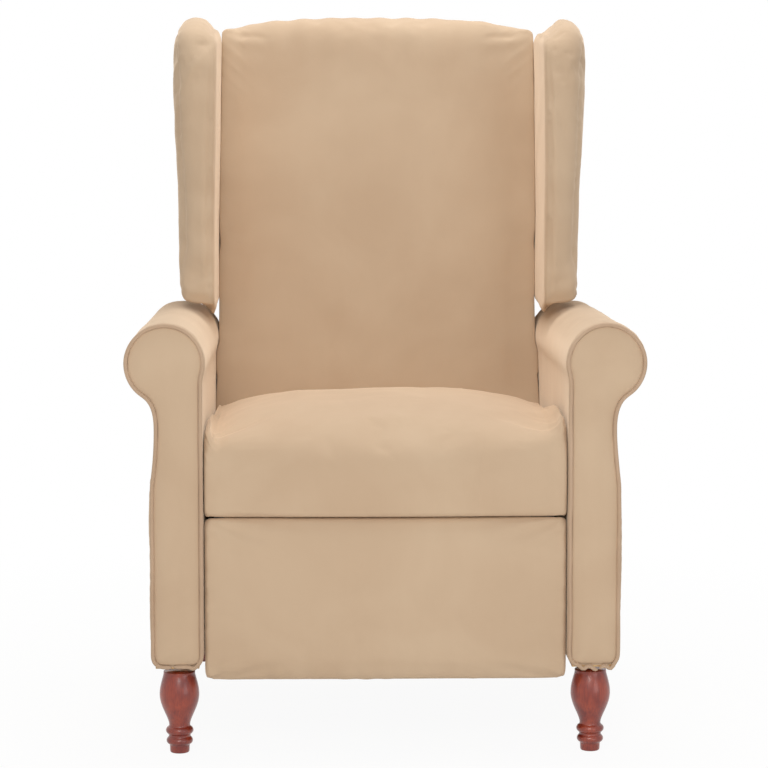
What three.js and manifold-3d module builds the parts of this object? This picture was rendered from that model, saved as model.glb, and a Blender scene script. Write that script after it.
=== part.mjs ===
// Push-back wing recliner with rolled arms, in millimetres.
// +Z is up and the chair faces -Y. In this file "ahead" is the distance towards the front (-Y), "side" is
// the distance from the middle plane, and "height" is the distance above the floor.
// The sitter leans on the back: it turns about a pivot on each base plate, its lower pins push the seat
// forward in guide slots, and a crank on each end of a cross shaft swings the footrest out.

import * as THREE from 'three';
import * as BufferGeometryUtils from 'three/addons/utils/BufferGeometryUtils.js';
import Module from 'manifold-3d';

const wasm = await Module();
wasm.setup();

// Clearances that every piece shares
const touch = 0.3; // between pieces that rest on each other
const slack = 0.6; // round a pin in its hole
const layerGap = 1; // between the steel plates of the mechanism
const overrun = 20; // how far a cutting shape runs past what it cuts

// Overall size. Heights below are measured from the arms' lower edge, which the legs carry.
const seatOpening = 497; // between the arms
const armFront = 408;
const armRear = -300;
const armRise = 152.5; // of the arm's top above the seat cushion's front edge
const legLength = 124;

// Arm section, seen from the front
const armRollRadius = 55.5;
const armRollLap = 4.5; // of the roll over the arm's inner face
const armNeckWidth = 65.5; // of the narrow neck below the roll
const armNeckDrop = 85.5; // from the roll's centre down to the neck
const armBaseWidth = 72;
const armBaseDrop = 130;
const armCornerRadius = 13;
const armWall = 6;
const armRollLeave = 50; // degrees below level where the outline leaves the roll
const armNeckSwingShare = 0.42;

// Arm seen from the side: the roll slopes down behind the wing, so that the wing can swing over it
const armSlopeStart = -112;
const armRearDrop = 116.5;
const armSlopeBendShare = 0.3;

// Front panel and welt of the arm
const panelThickness = 9;
const weltRadius = 2.7;
const panelInset = 7.5;
const weltSteps = 84;
const weltGap = 2; // where its two ends meet under the arm

// Boards inside the arm
const sideBoardThickness = 18;
const sideBoardDrop = 124.5; // of its top below the arm's top
const bottomBoardThickness = 18;
const rollCoreClearance = 1;

// Front cross rail and rear apron between the arms
const crossRailThickness = 25;
const crossRailDepth = 50;
const crossRailLift = 4; // above the arms' lower edge
const crossRailSetback = 128; // behind the torsion shaft
const apronThickness = 18;
const apronDepth = 212;
const apronInset = 8; // from the arms' rear edge

// Legs
const legInset = 35.5; // of a leg's centre from the arm's inner face
const frontLegInset = 38; // from the arms' front
const rearLegInset = 32; // from the arms' rear
const frontLegRadius = 27.3;
const rearLegTop = 38;
const rearLegFoot = 26;
const rearLegRake = 22;
const legSegments = 16;

// Turned profile of a front leg as shares of its largest radius and of its length, from the floor up
const frontLegProfileShares = [
  [0.44, 0], [0.49, 0.013], [0.49, 0.085], [0.535, 0.1], [0.66, 0.132], [0.66, 0.168], [0.55, 0.21],
  [0.55, 0.222], [0.69, 0.252], [0.69, 0.29], [0.53, 0.335], [0.585, 0.395], [0.77, 0.51],
  [0.93, 0.615], [1, 0.72], [0.96, 0.81], [0.845, 0.915], [0.795, 0.965], [0.795, 1],
];

// Recline: the back turns about its pivot and its seat pin pushes the seat forward
const reclineTurn = 30;
const seatPinSetback = 76; // behind the back's foot
const seatPinLift = 13; // above the seat rails' lower edge
const seatPinReach = 120; // from the back pivot to the seat pin
const backTilt = 17; // of the upright back, from vertical

// Steel plates of the mechanism, from the arm inwards
const plateThickness = 3;
const platePlay = 0.5; // between the base plate and the arm
const pivotRadius = 5;
const plateEar = 14; // material round a pivot
const plateRound = 8;

// Seat guides on the base plate
const guideDrop = 60; // below the seat rails
const rearGuideInset = 5; // ahead of the seat frame's rear
const frontGuideSetback = 116; // behind the torsion shaft
const basePlateDrop = 36; // below the guides
const basePlateLift = 36; // above the guides
const basePlateTail = 62; // behind the rear guide
const basePlateReach = 56; // ahead of the torsion shaft

// Footrest linkage, in the seat's frame at rest
const carrierInset = 77; // behind the seat frame's front
const carrierDrop = 29; // below the seat rails
const shaftSetback = 72; // behind the carrier's pivot
const shaftDrop = 98; // below the seat rails
const driveLength = 94;
const mainNear = 101; // main link, from the drive pin to the crossing pin
const mainFar = 117; // main link, from the crossing pin to the board's upper pin
const carrierNear = 96; // carrier link, from the seat plate to the crossing pin
const carrierFar = 68; // carrier link, from the crossing pin to its end
const tipLength = 137;
const boardPinSpacing = 81;
const driveStart = 235; // direction of the drive link at rest, in degrees from ahead, upwards
const driveTurn = 115;
const linkHalfWidth = 10;
const linkPinRadius = 4;
const loosePinRadius = 3; // the two pivots that close the linkage
const looseHoleRadius = 8.6;
const looseEar = 13;
const rivetHead = 7;
const looseRivetHead = 10;
const rivetHeadThickness = 1.8;
const shaftRadius = 6;
const crankHalfWidth = 11;
const camPinRadius = 4;
const camSlotPlay = 2.6;

// Seat frame
const railThickness = 22;
const railLow = 208;
const railDepth = 40;
const seatRearGap = 21; // of the seat frame's rear behind the back's foot
const clothThickness = 1;

// Sinuous springs
const springCount = 4;
const springSpacing = 108;
const springWireRadius = 1.8;
const springWave = 20;
const springWaves = 8;
const springSteps = 40;
const springEnd = 12;

// Seat cushion
const cushionPlay = 1; // between the cushion and the arm
const cushionProud = 2; // of the cushion ahead of the arms
const cushionLipDepth = 25; // of the part that hangs before the seat frame
const cushionFrontRound = 32;
const cushionThickness = 67; // at its front edge, above the deck
const cushionRearDrop = 3;
const cushionCrown = 38;
const cushionSideDrop = 22;
const cushionSideRound = 34;
const cushionLipLift = 1; // above the seat rails' lower edge
const cushionDeckGap = 5; // room for the springs above the rails
const cushionBackGap = 8; // from the back's foot
const cushionBulge = 5;

// Footrest
const footrestDepth = 221;
const footrestGap = 3.5; // below the seat rails
const footrestThickness = 38; // of the board and its pad
const footBoardThickness = 12;
const footBoardMargin = 7;
const footrestRound = 12;
const footrestBulge = 4;
const footrestSideRound = 18;
const footTabWidth = 12;
const footTabHeight = 80;

// Back, in its own frame: "deep" runs from the cushion's front face to the rear, "up" along the back
const backFootAhead = -54;
const backFootLift = 8; // above the seat's deck
const backLength = 698;
const backCushionDepth = 121;
const backBulge = 10;
const backRound = 40;
const backArch = 12;
const backCornerDrop = 20;
const backSideRound = 24;
const lowerBackPlay = 13; // beside the lower back, for the plates
const upperBackGain = 12;
const postWidth = 25;
const postDepth = 25;
const postFoot = 6;
const postHeadDrop = 60; // of the posts' top below the back's top
const postGap = 4.5; // behind the cushion
const headRailDepth = 55;
const lowerRailDepth = 50;
const lowerRailUp = 16;
const webCount = 3;
const webWidth = 50;
const webThickness = 2;
const webFirstUp = 150;
const backPanelThickness = 14.2;
const backPanelSoftness = 4;
const backPanelMargin = 8;
const backPanelDrop = 80; // how far it hangs below the cushion's foot, in front of the apron

// Wings, in the back's frame
const wingThickness = 52;
const wingPlay = 1.5;
const wingLean = 13;
const wingFootReach = 178;
const wingFootGap = 6; // above the arm's top, at the wing's front
const wingRearGap = 13.4; // above the arm's top, at the wing's rear
const wingRearLap = 12.2; // of the wing's rear behind the posts
const wingRound = 15;
const wingHeadDrop = 34; // below the back's top
const wingReach = 203;
const wingBoardThickness = 12;
const wingBoardSetback = 116; // behind the front of the wing's foot
const wingBoardLift = 20; // above the wing's rear foot
const wingBoardDrop = 68; // below the wing's head
const wingCleatHeight = 50; // of the two blocks that screw the board to the back post

// Wing's outline after its foot, as shares of its reach and of the height from its foot to its head
const wingOutlineShares = [
  [0.915, 0.154], [0.945, 0.338], [0.975, 0.521], [1, 0.69], [0.955, 0.824], [0.78, 0.923], [0.5, 0.979],
  [0.1, 1], [-0.35, 0.993], [-0.62, 0.965], [-0.76, 0.915],
];
const wingRearHeadShare = 0.86;

// Smoothness
const curveSegments = 4;
const armCurveSegments = 8;
const weltSides = 6;
const springSides = 4;
const softCurveSegments = 4;
const softSteps = 12;
const wingCurveSegments = 3;
const wingSteps = 6;
const roundSegments = 12;
const crease = Math.PI / 6;

// Values worked out from the sizes above

const degrees = Math.PI / 180;

// Across the chair
const armInner = seatOpening / 2;
const armRollSide = armInner - armRollLap + armRollRadius;
const halfWidth = armRollSide + armRollRadius;
const armNeck = armInner + armNeckWidth;
const armBase = armInner + armBaseWidth;
const legSide = armInner + legInset;
const basePlateSide = armInner - platePlay - plateThickness;
const backPlateSide = basePlateSide - layerGap - plateThickness;
const seatPlateSide = backPlateSide - layerGap - plateThickness;
const outerLinkSide = seatPlateSide - layerGap - plateThickness;
const innerLinkSide = outerLinkSide - layerGap - plateThickness;
const railOuter = seatPlateSide - touch;
const seatHalfWidth = armInner - cushionPlay;
const lowerBackHalf = armInner - lowerBackPlay;
const upperBackHalf = lowerBackHalf + upperBackGain;
const wingInner = upperBackHalf + wingPlay;

// From front to rear
const frontLegAhead = armFront - frontLegInset;
const rearLegAhead = armRear + rearLegInset;
const cushionFront = armFront + cushionProud;
const seatFrameFront = cushionFront - cushionLipDepth;
const seatFrameRear = backFootAhead - seatRearGap;
const cushionFoldAhead = backFootAhead + cushionBackGap;
const footBoardRear = cushionFront - footrestThickness;
const carrierAhead = seatFrameFront - carrierInset;
const shaftAhead = carrierAhead - shaftSetback;
const crossRailAhead = shaftAhead - crossRailSetback;
const rearGuideAhead = seatFrameRear + rearGuideInset;
const frontGuideAhead = shaftAhead - frontGuideSetback;
const basePlateRear = rearGuideAhead - basePlateTail;
const basePlateFront = shaftAhead + basePlateReach;
const seatPinAhead = backFootAhead - seatPinSetback;

// Heights above the arms' lower edge
const railHigh = railLow + railDepth;
const deck = railHigh + cushionDeckGap;
const cushionTop = deck + cushionThickness;
const cushionRearTop = cushionTop - cushionRearDrop;
const cushionLipLow = railLow + cushionLipLift;
const armHeight = cushionTop + armRise;
const armRollHeight = armHeight - armRollRadius;
const armRearHeight = armHeight - armRearDrop;
const sideBoardHeight = armHeight - sideBoardDrop;
const seatPinHeight = railLow + seatPinLift;
const guideHeight = railLow - guideDrop;
const basePlateLow = guideHeight - basePlateDrop;
const basePlateHigh = guideHeight + basePlateLift;
const shaftHeight = railLow - shaftDrop;
const carrierHeight = railLow - carrierDrop;
const footrestHigh = railLow - footrestGap;
const footrestLow = footrestHigh - footrestDepth;
const footTabLow = shaftHeight;
const footTabHigh = footTabLow + footTabHeight;
const backFootHeight = deck + backFootLift;

// Recline and the crank that follows it
const backPivotAhead = seatPinAhead + seatPinReach * Math.sin((reclineTurn / 2) * degrees);
const backPivotHeight = seatPinHeight + seatPinReach * Math.cos((reclineTurn / 2) * degrees);
const seatTravel = 2 * seatPinReach * Math.sin((reclineTurn / 2) * degrees);
const seatPinDip = seatPinReach * (1 - Math.cos((reclineTurn / 2) * degrees));
const crankLength = seatTravel / (2 * Math.sin((driveTurn / 2) * degrees));
const crankStart = 90 - driveTurn / 2;

// In the back's frame
const postHead = backLength - postHeadDrop;
const postDeep = backCushionDepth + postGap;
const panelDeep = postDeep + postDepth + touch;
const webPitch = (postHead - headRailDepth - webFirstUp) / webCount;
const wingHeadUp = backLength - wingHeadDrop;
const wingRearDeep = postDeep + postDepth + wingRearLap;
const wingFootUp = upAt(armHeight + wingFootGap, wingFootReach);
const wingRearUp = upAt(armHeight + wingRearGap, -wingRearDeep);
const wingBoardReach = wingFootReach - wingBoardSetback;
const wingBoardLow = wingRearUp + wingBoardLift;
const wingBoardHigh = wingHeadUp - wingBoardDrop;

// How far up the back a point lies that has this height and this reach ahead of the back's face

function upAt(height, reach) {
  return (height - backFootHeight - reach * Math.sin(backTilt * degrees)) / Math.cos(backTilt * degrees);
}

// A point of the side view

function at(ahead, height) {
  return new THREE.Vector2(ahead, height);
}

function from(origin, length, angle) {
  return at(origin.x + length * Math.cos(angle * degrees), origin.y + length * Math.sin(angle * degrees));
}

// Where two links of given lengths meet, on the right-hand side of the line from the first pivot

function meeting(first, firstLength, second, secondLength) {
  const span = second.clone().sub(first);
  const along = (span.lengthSq() + firstLength ** 2 - secondLength ** 2) / (2 * span.length());
  const across = Math.sqrt(firstLength ** 2 - along ** 2);
  const forward = span.clone().normalize();
  const foot = first.clone().addScaledVector(forward, along);
  return at(foot.x + forward.y * across, foot.y - forward.x * across);
}

function beyond(start, through, reach) {
  const forward = through.clone().sub(start).normalize();
  return through.clone().addScaledVector(forward, reach);
}

// The footrest linkage's pivots for a direction of the drive link

function linkagePivots(driveAngle) {
  const shaft = at(shaftAhead, shaftHeight);
  const carrier = at(carrierAhead, carrierHeight);
  const drivePin = from(shaft, driveLength, driveAngle);
  const crossing = meeting(drivePin, mainNear, carrier, carrierNear);
  const upperPin = beyond(drivePin, crossing, mainFar);
  const carrierEnd = beyond(carrier, crossing, carrierFar);
  const lowerPin = meeting(carrierEnd, tipLength, upperPin, boardPinSpacing);
  return { shaft, carrier, drivePin, crossing, upperPin, carrierEnd, lowerPin };
}

const pivots = linkagePivots(driveStart);

// Geometry helpers

const sideways = new THREE.Matrix4().makeBasis(
  new THREE.Vector3(0, -1, 0),
  new THREE.Vector3(0, 0, 1),
  new THREE.Vector3(-1, 0, 0),
);

const frontways = new THREE.Matrix4().makeBasis(
  new THREE.Vector3(1, 0, 0),
  new THREE.Vector3(0, 0, 1),
  new THREE.Vector3(0, -1, 0),
);

function bare(geometry) {
  const copy = geometry.clone();
  copy.deleteAttribute('normal');
  copy.deleteAttribute('uv');
  return BufferGeometryUtils.mergeVertices(copy);
}

function solid(geometry) {
  const merged = bare(geometry);
  return new wasm.Manifold(new wasm.Mesh({
    numProp: 3,
    vertProperties: Float32Array.from(merged.attributes.position.array),
    triVerts: Uint32Array.from(merged.index.array),
  }));
}

function meshGeometry(body) {
  const mesh = body.getMesh();
  const geometry = new THREE.BufferGeometry();
  geometry.setAttribute('position', new THREE.BufferAttribute(mesh.vertProperties, 3));
  geometry.setIndex(new THREE.BufferAttribute(mesh.triVerts, 1));
  return geometry;
}

function joined(...geometries) {
  return meshGeometry(geometries.map(solid).reduce((whole, next) => whole.add(next)));
}

function cutFrom(geometry, ...cutters) {
  return meshGeometry(cutters.map(solid).reduce((whole, next) => whole.subtract(next), solid(geometry)));
}

function common(first, second) {
  return meshGeometry(solid(first).intersect(solid(second)));
}

// An outline of the side view as a plate that stands on edge, from side to side + thickness

function plate(shape, side, thickness, options = {}) {
  const settings = { depth: thickness, bevelEnabled: false, curveSegments, ...options };
  const geometry = new THREE.ExtrudeGeometry(shape, settings);
  geometry.applyMatrix4(sideways);
  return geometry.translate(side + thickness, 0, 0);
}

// An outline of the front view as a bar that runs from rear to front

function bar(shape, rear, front, options = {}) {
  const settings = { depth: front - rear, bevelEnabled: false, curveSegments, ...options };
  const geometry = new THREE.ExtrudeGeometry(shape, settings);
  geometry.applyMatrix4(frontways);
  return geometry.translate(0, -rear, 0);
}

function block(side, ahead, height) {
  const spans = [side, ahead, height].map(([low, high]) => high - low);
  const [x, y, z] = [side, ahead, height].map(([low, high]) => (low + high) / 2);
  return new THREE.BoxGeometry(...spans).translate(x, -y, z);
}

// A round pin across the chair

function pin(centre, radius, sideStart, sideEnd) {
  const geometry = new THREE.CylinderGeometry(radius, radius, sideEnd - sideStart, roundSegments);
  geometry.rotateZ(Math.PI / 2);
  return geometry.translate((sideStart + sideEnd) / 2, -centre.x, centre.y);
}

function mirrored(geometry) {
  const copy = bare(geometry);
  copy.scale(-1, 1, 1);
  const index = copy.index;
  for (let corner = 0; corner < index.count; corner += 3) {
    const second = index.getX(corner + 1);
    index.setX(corner + 1, index.getX(corner + 2));
    index.setX(corner + 2, second);
  }
  return copy;
}

// A straight link round its pivots, with round ends

function linkShape(start, end, startRadius, endRadius = startRadius) {
  const angle = Math.atan2(end.y - start.y, end.x - start.x);
  const shape = new THREE.Shape();
  shape.absarc(start.x, start.y, startRadius, angle + Math.PI / 2, angle + Math.PI * 1.5, false);
  shape.absarc(end.x, end.y, endRadius, angle - Math.PI / 2, angle + Math.PI / 2, false);
  shape.closePath();
  return shape;
}

function roundHole(shape, centre, radius) {
  const hole = new THREE.Path();
  hole.absarc(centre.x, centre.y, radius, 0, Math.PI * 2, true);
  shape.holes.push(hole);
}

function slotHole(shape, start, end, radius) {
  const angle = Math.atan2(end.y - start.y, end.x - start.x);
  const hole = new THREE.Path();
  hole.absarc(end.x, end.y, radius, angle + Math.PI / 2, angle - Math.PI / 2, true);
  hole.absarc(start.x, start.y, radius, angle - Math.PI / 2, angle - Math.PI * 1.5, true);
  hole.closePath();
  shape.holes.push(hole);
}

// An outline through corners, each rounded off

function roundedShape(corners, radius) {
  const shape = new THREE.Shape();
  corners.forEach((corner, index) => {
    const before = corners[(index + corners.length - 1) % corners.length];
    const after = corners[(index + 1) % corners.length];
    const reach = Math.min(radius, corner.distanceTo(before) / 2, corner.distanceTo(after) / 2);
    const enter = corner.clone().lerp(before, reach / corner.distanceTo(before));
    const leave = corner.clone().lerp(after, reach / corner.distanceTo(after));
    if (index === 0) {
      shape.moveTo(enter.x, enter.y);
    } else {
      shape.lineTo(enter.x, enter.y);
    }
    shape.quadraticCurveTo(corner.x, corner.y, leave.x, leave.y);
  });
  shape.closePath();
  return shape;
}

// Soft pieces: an outline of the side view carried across the chair, then shaped point by point.
// The form gets the side as a share of the half width, from -1 to 1.

function softBar(shape, half, form, options = { steps: softSteps, curveSegments: softCurveSegments }) {
  const geometry = bare(plate(shape, -half, half * 2, options));
  const position = geometry.attributes.position;
  for (let index = 0; index < position.count; index += 1) {
    const share = Math.sin((position.getX(index) / half) * (Math.PI / 2));
    const place = form(share, -position.getY(index), position.getZ(index));
    position.setXYZ(index, place.side, -place.ahead, place.height);
  }
  return geometry;
}

function rise(value, low, high) {
  const share = Math.min(1, Math.max(0, (value - low) / (high - low)));
  return share * share * (3 - 2 * share);
}

// How far a soft edge has fallen away at a share of the half width, from 0 to 1

function edgeFall(share, half, round) {
  const into = Math.max(0, (Math.abs(share) * half - (half - round)) / round);
  return 1 - Math.sqrt(Math.max(0, 1 - into * into));
}

// Pieces and their materials

const fabric = { color: 0xc7ab91, roughness: 0.95, metalness: 0 };
const weltFabric = { color: 0xb89a7f, roughness: 0.95, metalness: 0 };
const backFabric = { color: 0xbfa389, roughness: 0.95, metalness: 0 };
const mahogany = { color: 0x7c3c34, roughness: 0.3, metalness: 0 };
const plainWood = { color: 0xc9a673, roughness: 0.7, metalness: 0 };
const plywood = { color: 0xd2b485, roughness: 0.75, metalness: 0 };
const blackSteel = { color: 0x2c2d30, roughness: 0.5, metalness: 0.8 };
const springSteel = { color: 0x8d9094, roughness: 0.4, metalness: 0.9 };
const cardboard = { color: 0xa98a63, roughness: 0.9, metalness: 0 };
const blackCloth = { color: 0x26262a, roughness: 1, metalness: 0 };
const webbing = { color: 0xe3ddd0, roughness: 0.9, metalness: 0 };

const chair = new THREE.Group();
const upper = new THREE.Group();
upper.position.z = legLength;
chair.add(upper);
const back = new THREE.Group();
back.position.set(0, -backFootAhead, backFootHeight);
back.rotation.x = -backTilt * degrees;
upper.add(back);

function add(name, geometry, look, group = upper) {
  const smooth = BufferGeometryUtils.toCreasedNormals(bare(geometry), crease);
  const mesh = new THREE.Mesh(smooth, new THREE.MeshStandardMaterial(look));
  mesh.name = name;
  group.add(mesh);
}

function addPair(name, geometry, look, group = upper) {
  add(`right_${name}`, geometry, look, group);
  add(`left_${name}`, mirrored(geometry), look, group);
}

// Arms

function armSection(inset, low) {
  const inner = armInner + inset;
  const base = armBase - inset;
  const neck = armNeck - inset;
  const radius = armRollRadius - inset;
  const corner = Math.max(armCornerRadius - inset, touch);
  const enter = Math.PI + Math.asin(Math.sqrt(radius ** 2 - (armRollSide - inner) ** 2) / radius);
  const leave = -armRollLeave * degrees;
  const neckHeight = armRollHeight - armNeckDrop;
  const swing = armNeckDrop * armNeckSwingShare;
  const shape = new THREE.Shape();
  shape.moveTo(inner, low + corner);
  shape.lineTo(inner, armRollHeight + radius * Math.sin(enter));
  shape.absarc(armRollSide, armRollHeight, radius, enter, leave, true);
  shape.quadraticCurveTo(neck, neckHeight + swing, neck, neckHeight);
  shape.quadraticCurveTo(neck, neckHeight - swing, base, armRollHeight - armBaseDrop - swing);
  shape.lineTo(base, low + corner);
  shape.absarc(base - corner, low + corner, corner, 0, -Math.PI / 2, true);
  shape.lineTo(inner + corner, low);
  shape.absarc(inner + corner, low + corner, corner, -Math.PI / 2, -Math.PI, true);
  shape.closePath();
  return shape;
}

function armSideShape(inset) {
  const rear = armRear + inset;
  const rearHeight = armRearHeight - inset;
  const top = armHeight - inset;
  const bend = armSlopeStart + (armRear - armSlopeStart) * armSlopeBendShare;
  const shape = new THREE.Shape();
  shape.moveTo(rear, -overrun);
  shape.lineTo(armFront + overrun, -overrun);
  shape.lineTo(armFront + overrun, top + overrun);
  shape.lineTo(armSlopeStart, top + overrun);
  shape.lineTo(armSlopeStart, top);
  shape.quadraticCurveTo(bend, top, rear, rearHeight);
  shape.closePath();
  return shape;
}

function armSolid(inset, low, front) {
  const options = { curveSegments: armCurveSegments };
  const along = bar(armSection(inset, low), armRear - overrun, front, options);
  const across = plate(armSideShape(inset), armInner - overrun, halfWidth - armInner + overrun * 2);
  return common(along, across);
}

function armCover() {
  const hollow = armSolid(armWall, -overrun, armFront + overrun);
  return cutFrom(armSolid(0, 0, armFront), hollow);
}

// The arm's outline as points, clockwise from its inner lower corner

function armOutline() {
  const points = armSection(0, 0).getPoints(armCurveSegments);
  return points.filter((point, index) => point.distanceTo(points[(index + 1) % points.length]) > touch);
}

// A clockwise outline drawn in by the same distance all round

function drawnIn(points, distance) {
  return points.map((point, index) => {
    const before = points[(index + points.length - 1) % points.length];
    const after = points[(index + 1) % points.length];
    const enter = point.clone().sub(before).normalize();
    const leave = after.clone().sub(point).normalize();
    const inward = at(enter.y + leave.y, -enter.x - leave.x).normalize();
    const reach = distance / Math.max(inward.x * enter.y - inward.y * enter.x, Math.SQRT1_2);
    return point.clone().addScaledVector(inward, reach);
  });
}

function armFrontPanel() {
  const rear = armFront + touch;
  return bar(new THREE.Shape(drawnIn(armOutline(), panelInset)), rear, rear + panelThickness);
}

function armWelt() {
  const outline = drawnIn(armOutline(), weltRadius);
  const ahead = armFront + touch + weltRadius;
  const start = new THREE.Vector3(armInner + armCornerRadius * 2, -ahead, weltRadius);
  const turn = outline.findLastIndex((point) => point.x > start.x) + 1;
  const ordered = [...outline.slice(turn), ...outline.slice(0, turn)];
  const loop = ordered.map((point) => new THREE.Vector3(point.x, -ahead, point.y));
  const end = start.clone().setX(start.x + weltGap);
  const route = new THREE.CurvePath();
  const points = [start, ...loop, end];
  points.slice(1).forEach((point, index) => route.add(new THREE.LineCurve3(points[index], point)));
  const section = new THREE.Shape();
  section.absarc(0, 0, weltRadius, 0, Math.PI * 2, false);
  const options = { steps: weltSteps, extrudePath: route, curveSegments: weltSides / 2 };
  return new THREE.ExtrudeGeometry(section, options);
}

function armRollCore() {
  const radius = armRollRadius - armWall - rollCoreClearance;
  const shape = new THREE.Shape();
  shape.absarc(armRollSide, armRollHeight, radius, 0, Math.PI * 2, false);
  const inset = armWall + rollCoreClearance;
  const along = bar(shape, armRear + inset, armFront - touch, { curveSegments: armCurveSegments });
  const across = plate(armSideShape(inset), armInner, halfWidth - armInner);
  return common(along, across);
}

function armSideBoard() {
  const side = armInner + armWall + touch;
  const low = bottomBoardThickness + touch;
  return block(
    [side, side + sideBoardThickness],
    [armRear + armWall + touch, armFront - touch],
    [low, sideBoardHeight],
  );
}

function armBottomBoard() {
  const gap = armWall + touch;
  return block(
    [armInner + gap, armBase - gap],
    [armRear + gap, armFront - touch],
    [0, bottomBoardThickness],
  );
}

function addArms() {
  addPair('arm_cover', armCover(), fabric);
  addPair('arm_front_panel', armFrontPanel(), fabric);
  addPair('arm_piping', armWelt(), weltFabric);
  addPair('arm_side_board', armSideBoard(), plywood);
  addPair('arm_roll_core', armRollCore(), cardboard);
  addPair('arm_bottom_board', armBottomBoard(), plainWood);
}

// The rail and the apron that tie the arms together

function addCrossPieces() {
  const span = [-(armInner - touch), armInner - touch];
  const railPlace = [crossRailAhead, crossRailAhead + crossRailThickness];
  const railHeights = [crossRailLift, crossRailLift + crossRailDepth];
  add('front_cross_rail', block(span, railPlace, railHeights), plainWood);
  const apronRear = armRear + apronInset;
  const apronHeights = [crossRailLift, crossRailLift + apronDepth];
  const apron = block(span, [apronRear, apronRear + apronThickness], apronHeights);
  add('rear_apron', apron, backFabric);
}

// Legs

function frontLeg() {
  const length = legLength - touch;
  const outline = frontLegProfileShares.map(([radius, height]) => (
    new THREE.Vector2(radius * frontLegRadius, height * length)
  ));
  const profile = [new THREE.Vector2(0, 0), ...outline, new THREE.Vector2(0, length)];
  const geometry = new THREE.LatheGeometry(profile, legSegments);
  geometry.rotateX(Math.PI / 2);
  return geometry.translate(legSide, -frontLegAhead, 0);
}

function rearLeg() {
  const length = legLength - touch;
  const geometry = new THREE.BoxGeometry(rearLegTop, rearLegTop, length);
  geometry.translate(0, 0, length / 2);
  const position = geometry.attributes.position;
  for (let index = 0; index < position.count; index += 1) {
    const foot = position.getZ(index) < length / 2;
    const scale = foot ? rearLegFoot / rearLegTop : 1;
    const rake = foot ? rearLegRake : 0;
    position.setX(index, position.getX(index) * scale);
    position.setY(index, position.getY(index) * scale + rake);
  }
  return geometry.translate(legSide, -rearLegAhead, 0);
}

function addLegs() {
  addPair('front_leg', frontLeg(), mahogany, chair);
  addPair('rear_leg', rearLeg(), mahogany, chair);
}

// Base plates: guide slots for the seat, an upright cam slot for the crank, and the back's pivot

function basePlate() {
  const pivot = at(backPivotAhead, backPivotHeight);
  const earLow = plateEar * 2;
  const corners = [
    at(basePlateRear, basePlateLow),
    at(basePlateFront, basePlateLow),
    at(basePlateFront, basePlateHigh),
    at(pivot.x + earLow, basePlateHigh),
    at(pivot.x + plateEar, basePlateHigh + earLow),
    at(pivot.x + plateEar, pivot.y + plateEar),
    at(pivot.x - plateEar, pivot.y + plateEar),
    at(pivot.x - plateEar, basePlateHigh + earLow),
    at(basePlateRear, basePlateHigh),
  ];
  const shape = roundedShape(corners, plateRound);
  [rearGuideAhead, frontGuideAhead].forEach((ahead) => {
    slotHole(shape, at(ahead, guideHeight), at(ahead + seatTravel, guideHeight), pivotRadius + slack);
  });
  const low = from(pivots.shaft, crankLength, crankStart);
  const high = at(low.x, pivots.shaft.y + crankLength);
  slotHole(shape, low, high, camPinRadius + camSlotPlay);
  const shaftPin = pin(pivot, pivotRadius, backPlateSide - layerGap / 2, basePlateSide + layerGap);
  return joined(plate(shape, basePlateSide, plateThickness), shaftPin);
}

// Back bracket: turns on the base plate's pin and carries the pin that pushes the seat

function inBack(point) {
  const rear = backFootAhead - point.x;
  const up = point.y - backFootHeight;
  const cos = Math.cos(backTilt * degrees);
  const sin = Math.sin(backTilt * degrees);
  return at(-(rear * cos - up * sin), rear * sin + up * cos);
}

function backBracket() {
  const pivot = inBack(at(backPivotAhead, backPivotHeight));
  const seatPin = inBack(at(seatPinAhead, seatPinHeight));
  const bolt = -(postDeep + postDepth / 2);
  const lowerBolt = at(bolt, postFoot + plateEar);
  const upperBolt = at(bolt, pivot.y + seatPinReach);
  const corners = [
    at(seatPin.x + plateEar, seatPin.y - plateEar),
    at(pivot.x + plateEar, pivot.y - plateEar),
    at(pivot.x + plateEar, pivot.y + plateEar),
    at(upperBolt.x + plateEar, upperBolt.y + plateEar),
    at(upperBolt.x - plateEar, upperBolt.y + plateEar),
    at(lowerBolt.x - plateEar, lowerBolt.y - plateEar),
    at(seatPin.x - plateEar, seatPin.y - plateEar),
  ];
  const shape = roundedShape(corners, plateRound);
  roundHole(shape, pivot, pivotRadius + slack);
  const spacers = [lowerBolt, upperBolt].map((bolt) => (
    pin(bolt, pivotRadius * 2, lowerBackHalf + touch, backPlateSide + layerGap)
  ));
  const push = pin(seatPin, pivotRadius, seatPlateSide - layerGap / 2, backPlateSide + layerGap);
  return joined(plate(shape, backPlateSide, plateThickness), ...spacers, push);
}

// Seat plate: hangs from the side rail, rides on two studs and carries the linkage

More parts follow.
